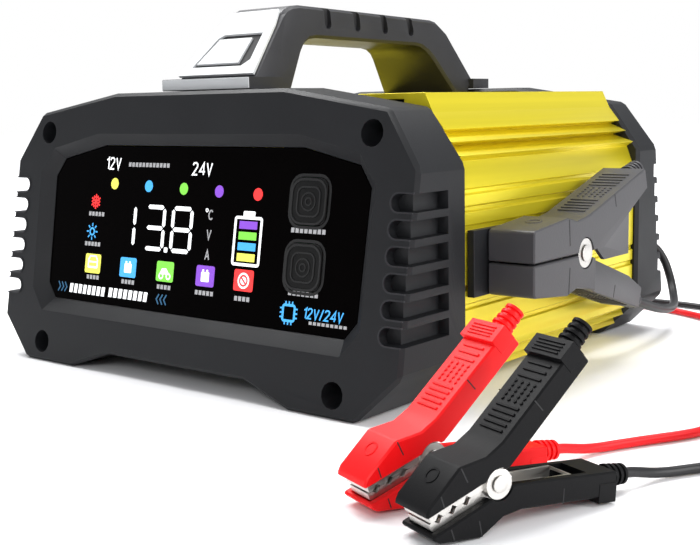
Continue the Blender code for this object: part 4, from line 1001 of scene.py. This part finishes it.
def seam_shape(sizes, loose):
    """Thin lines of painted shade on both sides of the upper half, standing in for the shadow in its seam
    grooves.
    """
    bm = bmesh.new()
    angle = math.radians(sizes["angle"])
    back = Vector((-math.cos(angle), 0, math.sin(angle)))
    out = Vector((math.sin(angle), 0, math.cos(angle)))
    x, foot = sizes["belly_x"], sizes["foot"]
    top = Vector((-sizes["start"], 0, sizes["rise"])) + back * sizes["length"] * 0.42
    low = top - out * sizes["thick"] * 0.6
    lines = [[(x * 0.92, foot + 2.4), (x * 0.98, sizes["belly"] * 0.96)], [(top.x, top.z), (low.x, low.z)]]
    if loose:
        nose = sizes["jaw"] * 0.76
        lines.append([(nose, foot), (nose, sizes["nose"] + 1)])
    right, up = Vector((1, 0, 0)), Vector((0, 0, 1))
    for side in (1, -1):
        face = Vector((0, side * (sizes["width"] / 2 + 0.02), 0))
        for points in lines:
            strip(bm, points, sizes["seam"], face, right, up, -0.03, 0.03)
    return bm


def clamp(colour):
    """One clamp's looks, each on its own half. The lower half mirrors the upper one."""
    loose = colour != "parked"
    sizes = LOOSE if loose else PARKED
    material, matrix = CLAMP_LOOK[colour], clamp_frame(colour)
    made = []
    for half in ("upper", "lower"):
        body = f"{colour}_clamp_upper" if half == "upper" else ROOT
        flip = Matrix() if half == "upper" else Matrix.Diagonal((1, 1, -1, 1))
        shell = soften(f"{colour}_{half}_shell", material, 0.55 * MM, 24)
        jaw = soften(f"{colour}_{half}_jaw", SILVER, 0.12 * MM, 30, 2)
        grip, ring, seams = grip_shape(sizes, loose), ring_shape(sizes), seam_shape(sizes, loose)
        for bm in (grip, ring, seams):
            flipped(bm, flip)
        name = f"{colour}_{half}"
        made.append(piece(f"{name}_grip", grip, material, body, matrix, 0.14 * MM, 40))
        made.append(piece(f"{name}_ring", ring, material, body, matrix, 0.05 * MM, 40))
        # The seams are strips of painted shade for the seam grooves
        made.append(piece(f"{name}_seams", seams, PAINTED_SHADE, body, matrix))
        made += [shell, jaw]
    rivet = soften(f"{colour}_rivet", SILVER, 0.15 * MM, 30, 2)
    paint(STEEL, f"{colour}_spring")
    return made + [rivet, frame["nodes"][f"{colour}_spring"]]


# ---------------------------------------------------------------- the rest
def fittings():
    for node in frame["nodes"]:
        if "screw" in node:
            paint(STEEL, node)
    for node in ("red_gland", "black_gland", "parked_gland"):
        soften(node, RUBBER, 0.4 * MM, 25)
    for node in ("left_dock", "right_dock"):
        soften(node, PLASTIC, 0.3 * MM, 30)
    soften("ac_inlet", CHIP, 0.3 * MM, 30)
    soften("fan_guard", STEEL, 0.15 * MM, 40)
    soften("fan_rotor", CHIP, 0.2 * MM, 30)
    paint(CHIP, "fan_frame", "power_transistors", "display_module", "transformer")
    paint(BOARD, "power_board", "display_board")
    paint(ALUMINIUM, "heat_sink")
    paint(SLEEVE, "filter_capacitor")


def main():
    camera()
    studio()
    cords = leads()
    display()
    keys()
    body()
    fittings()
    for colour, (lead, start, length, thick) in cords.items():
        parts = clamp(colour)


main()
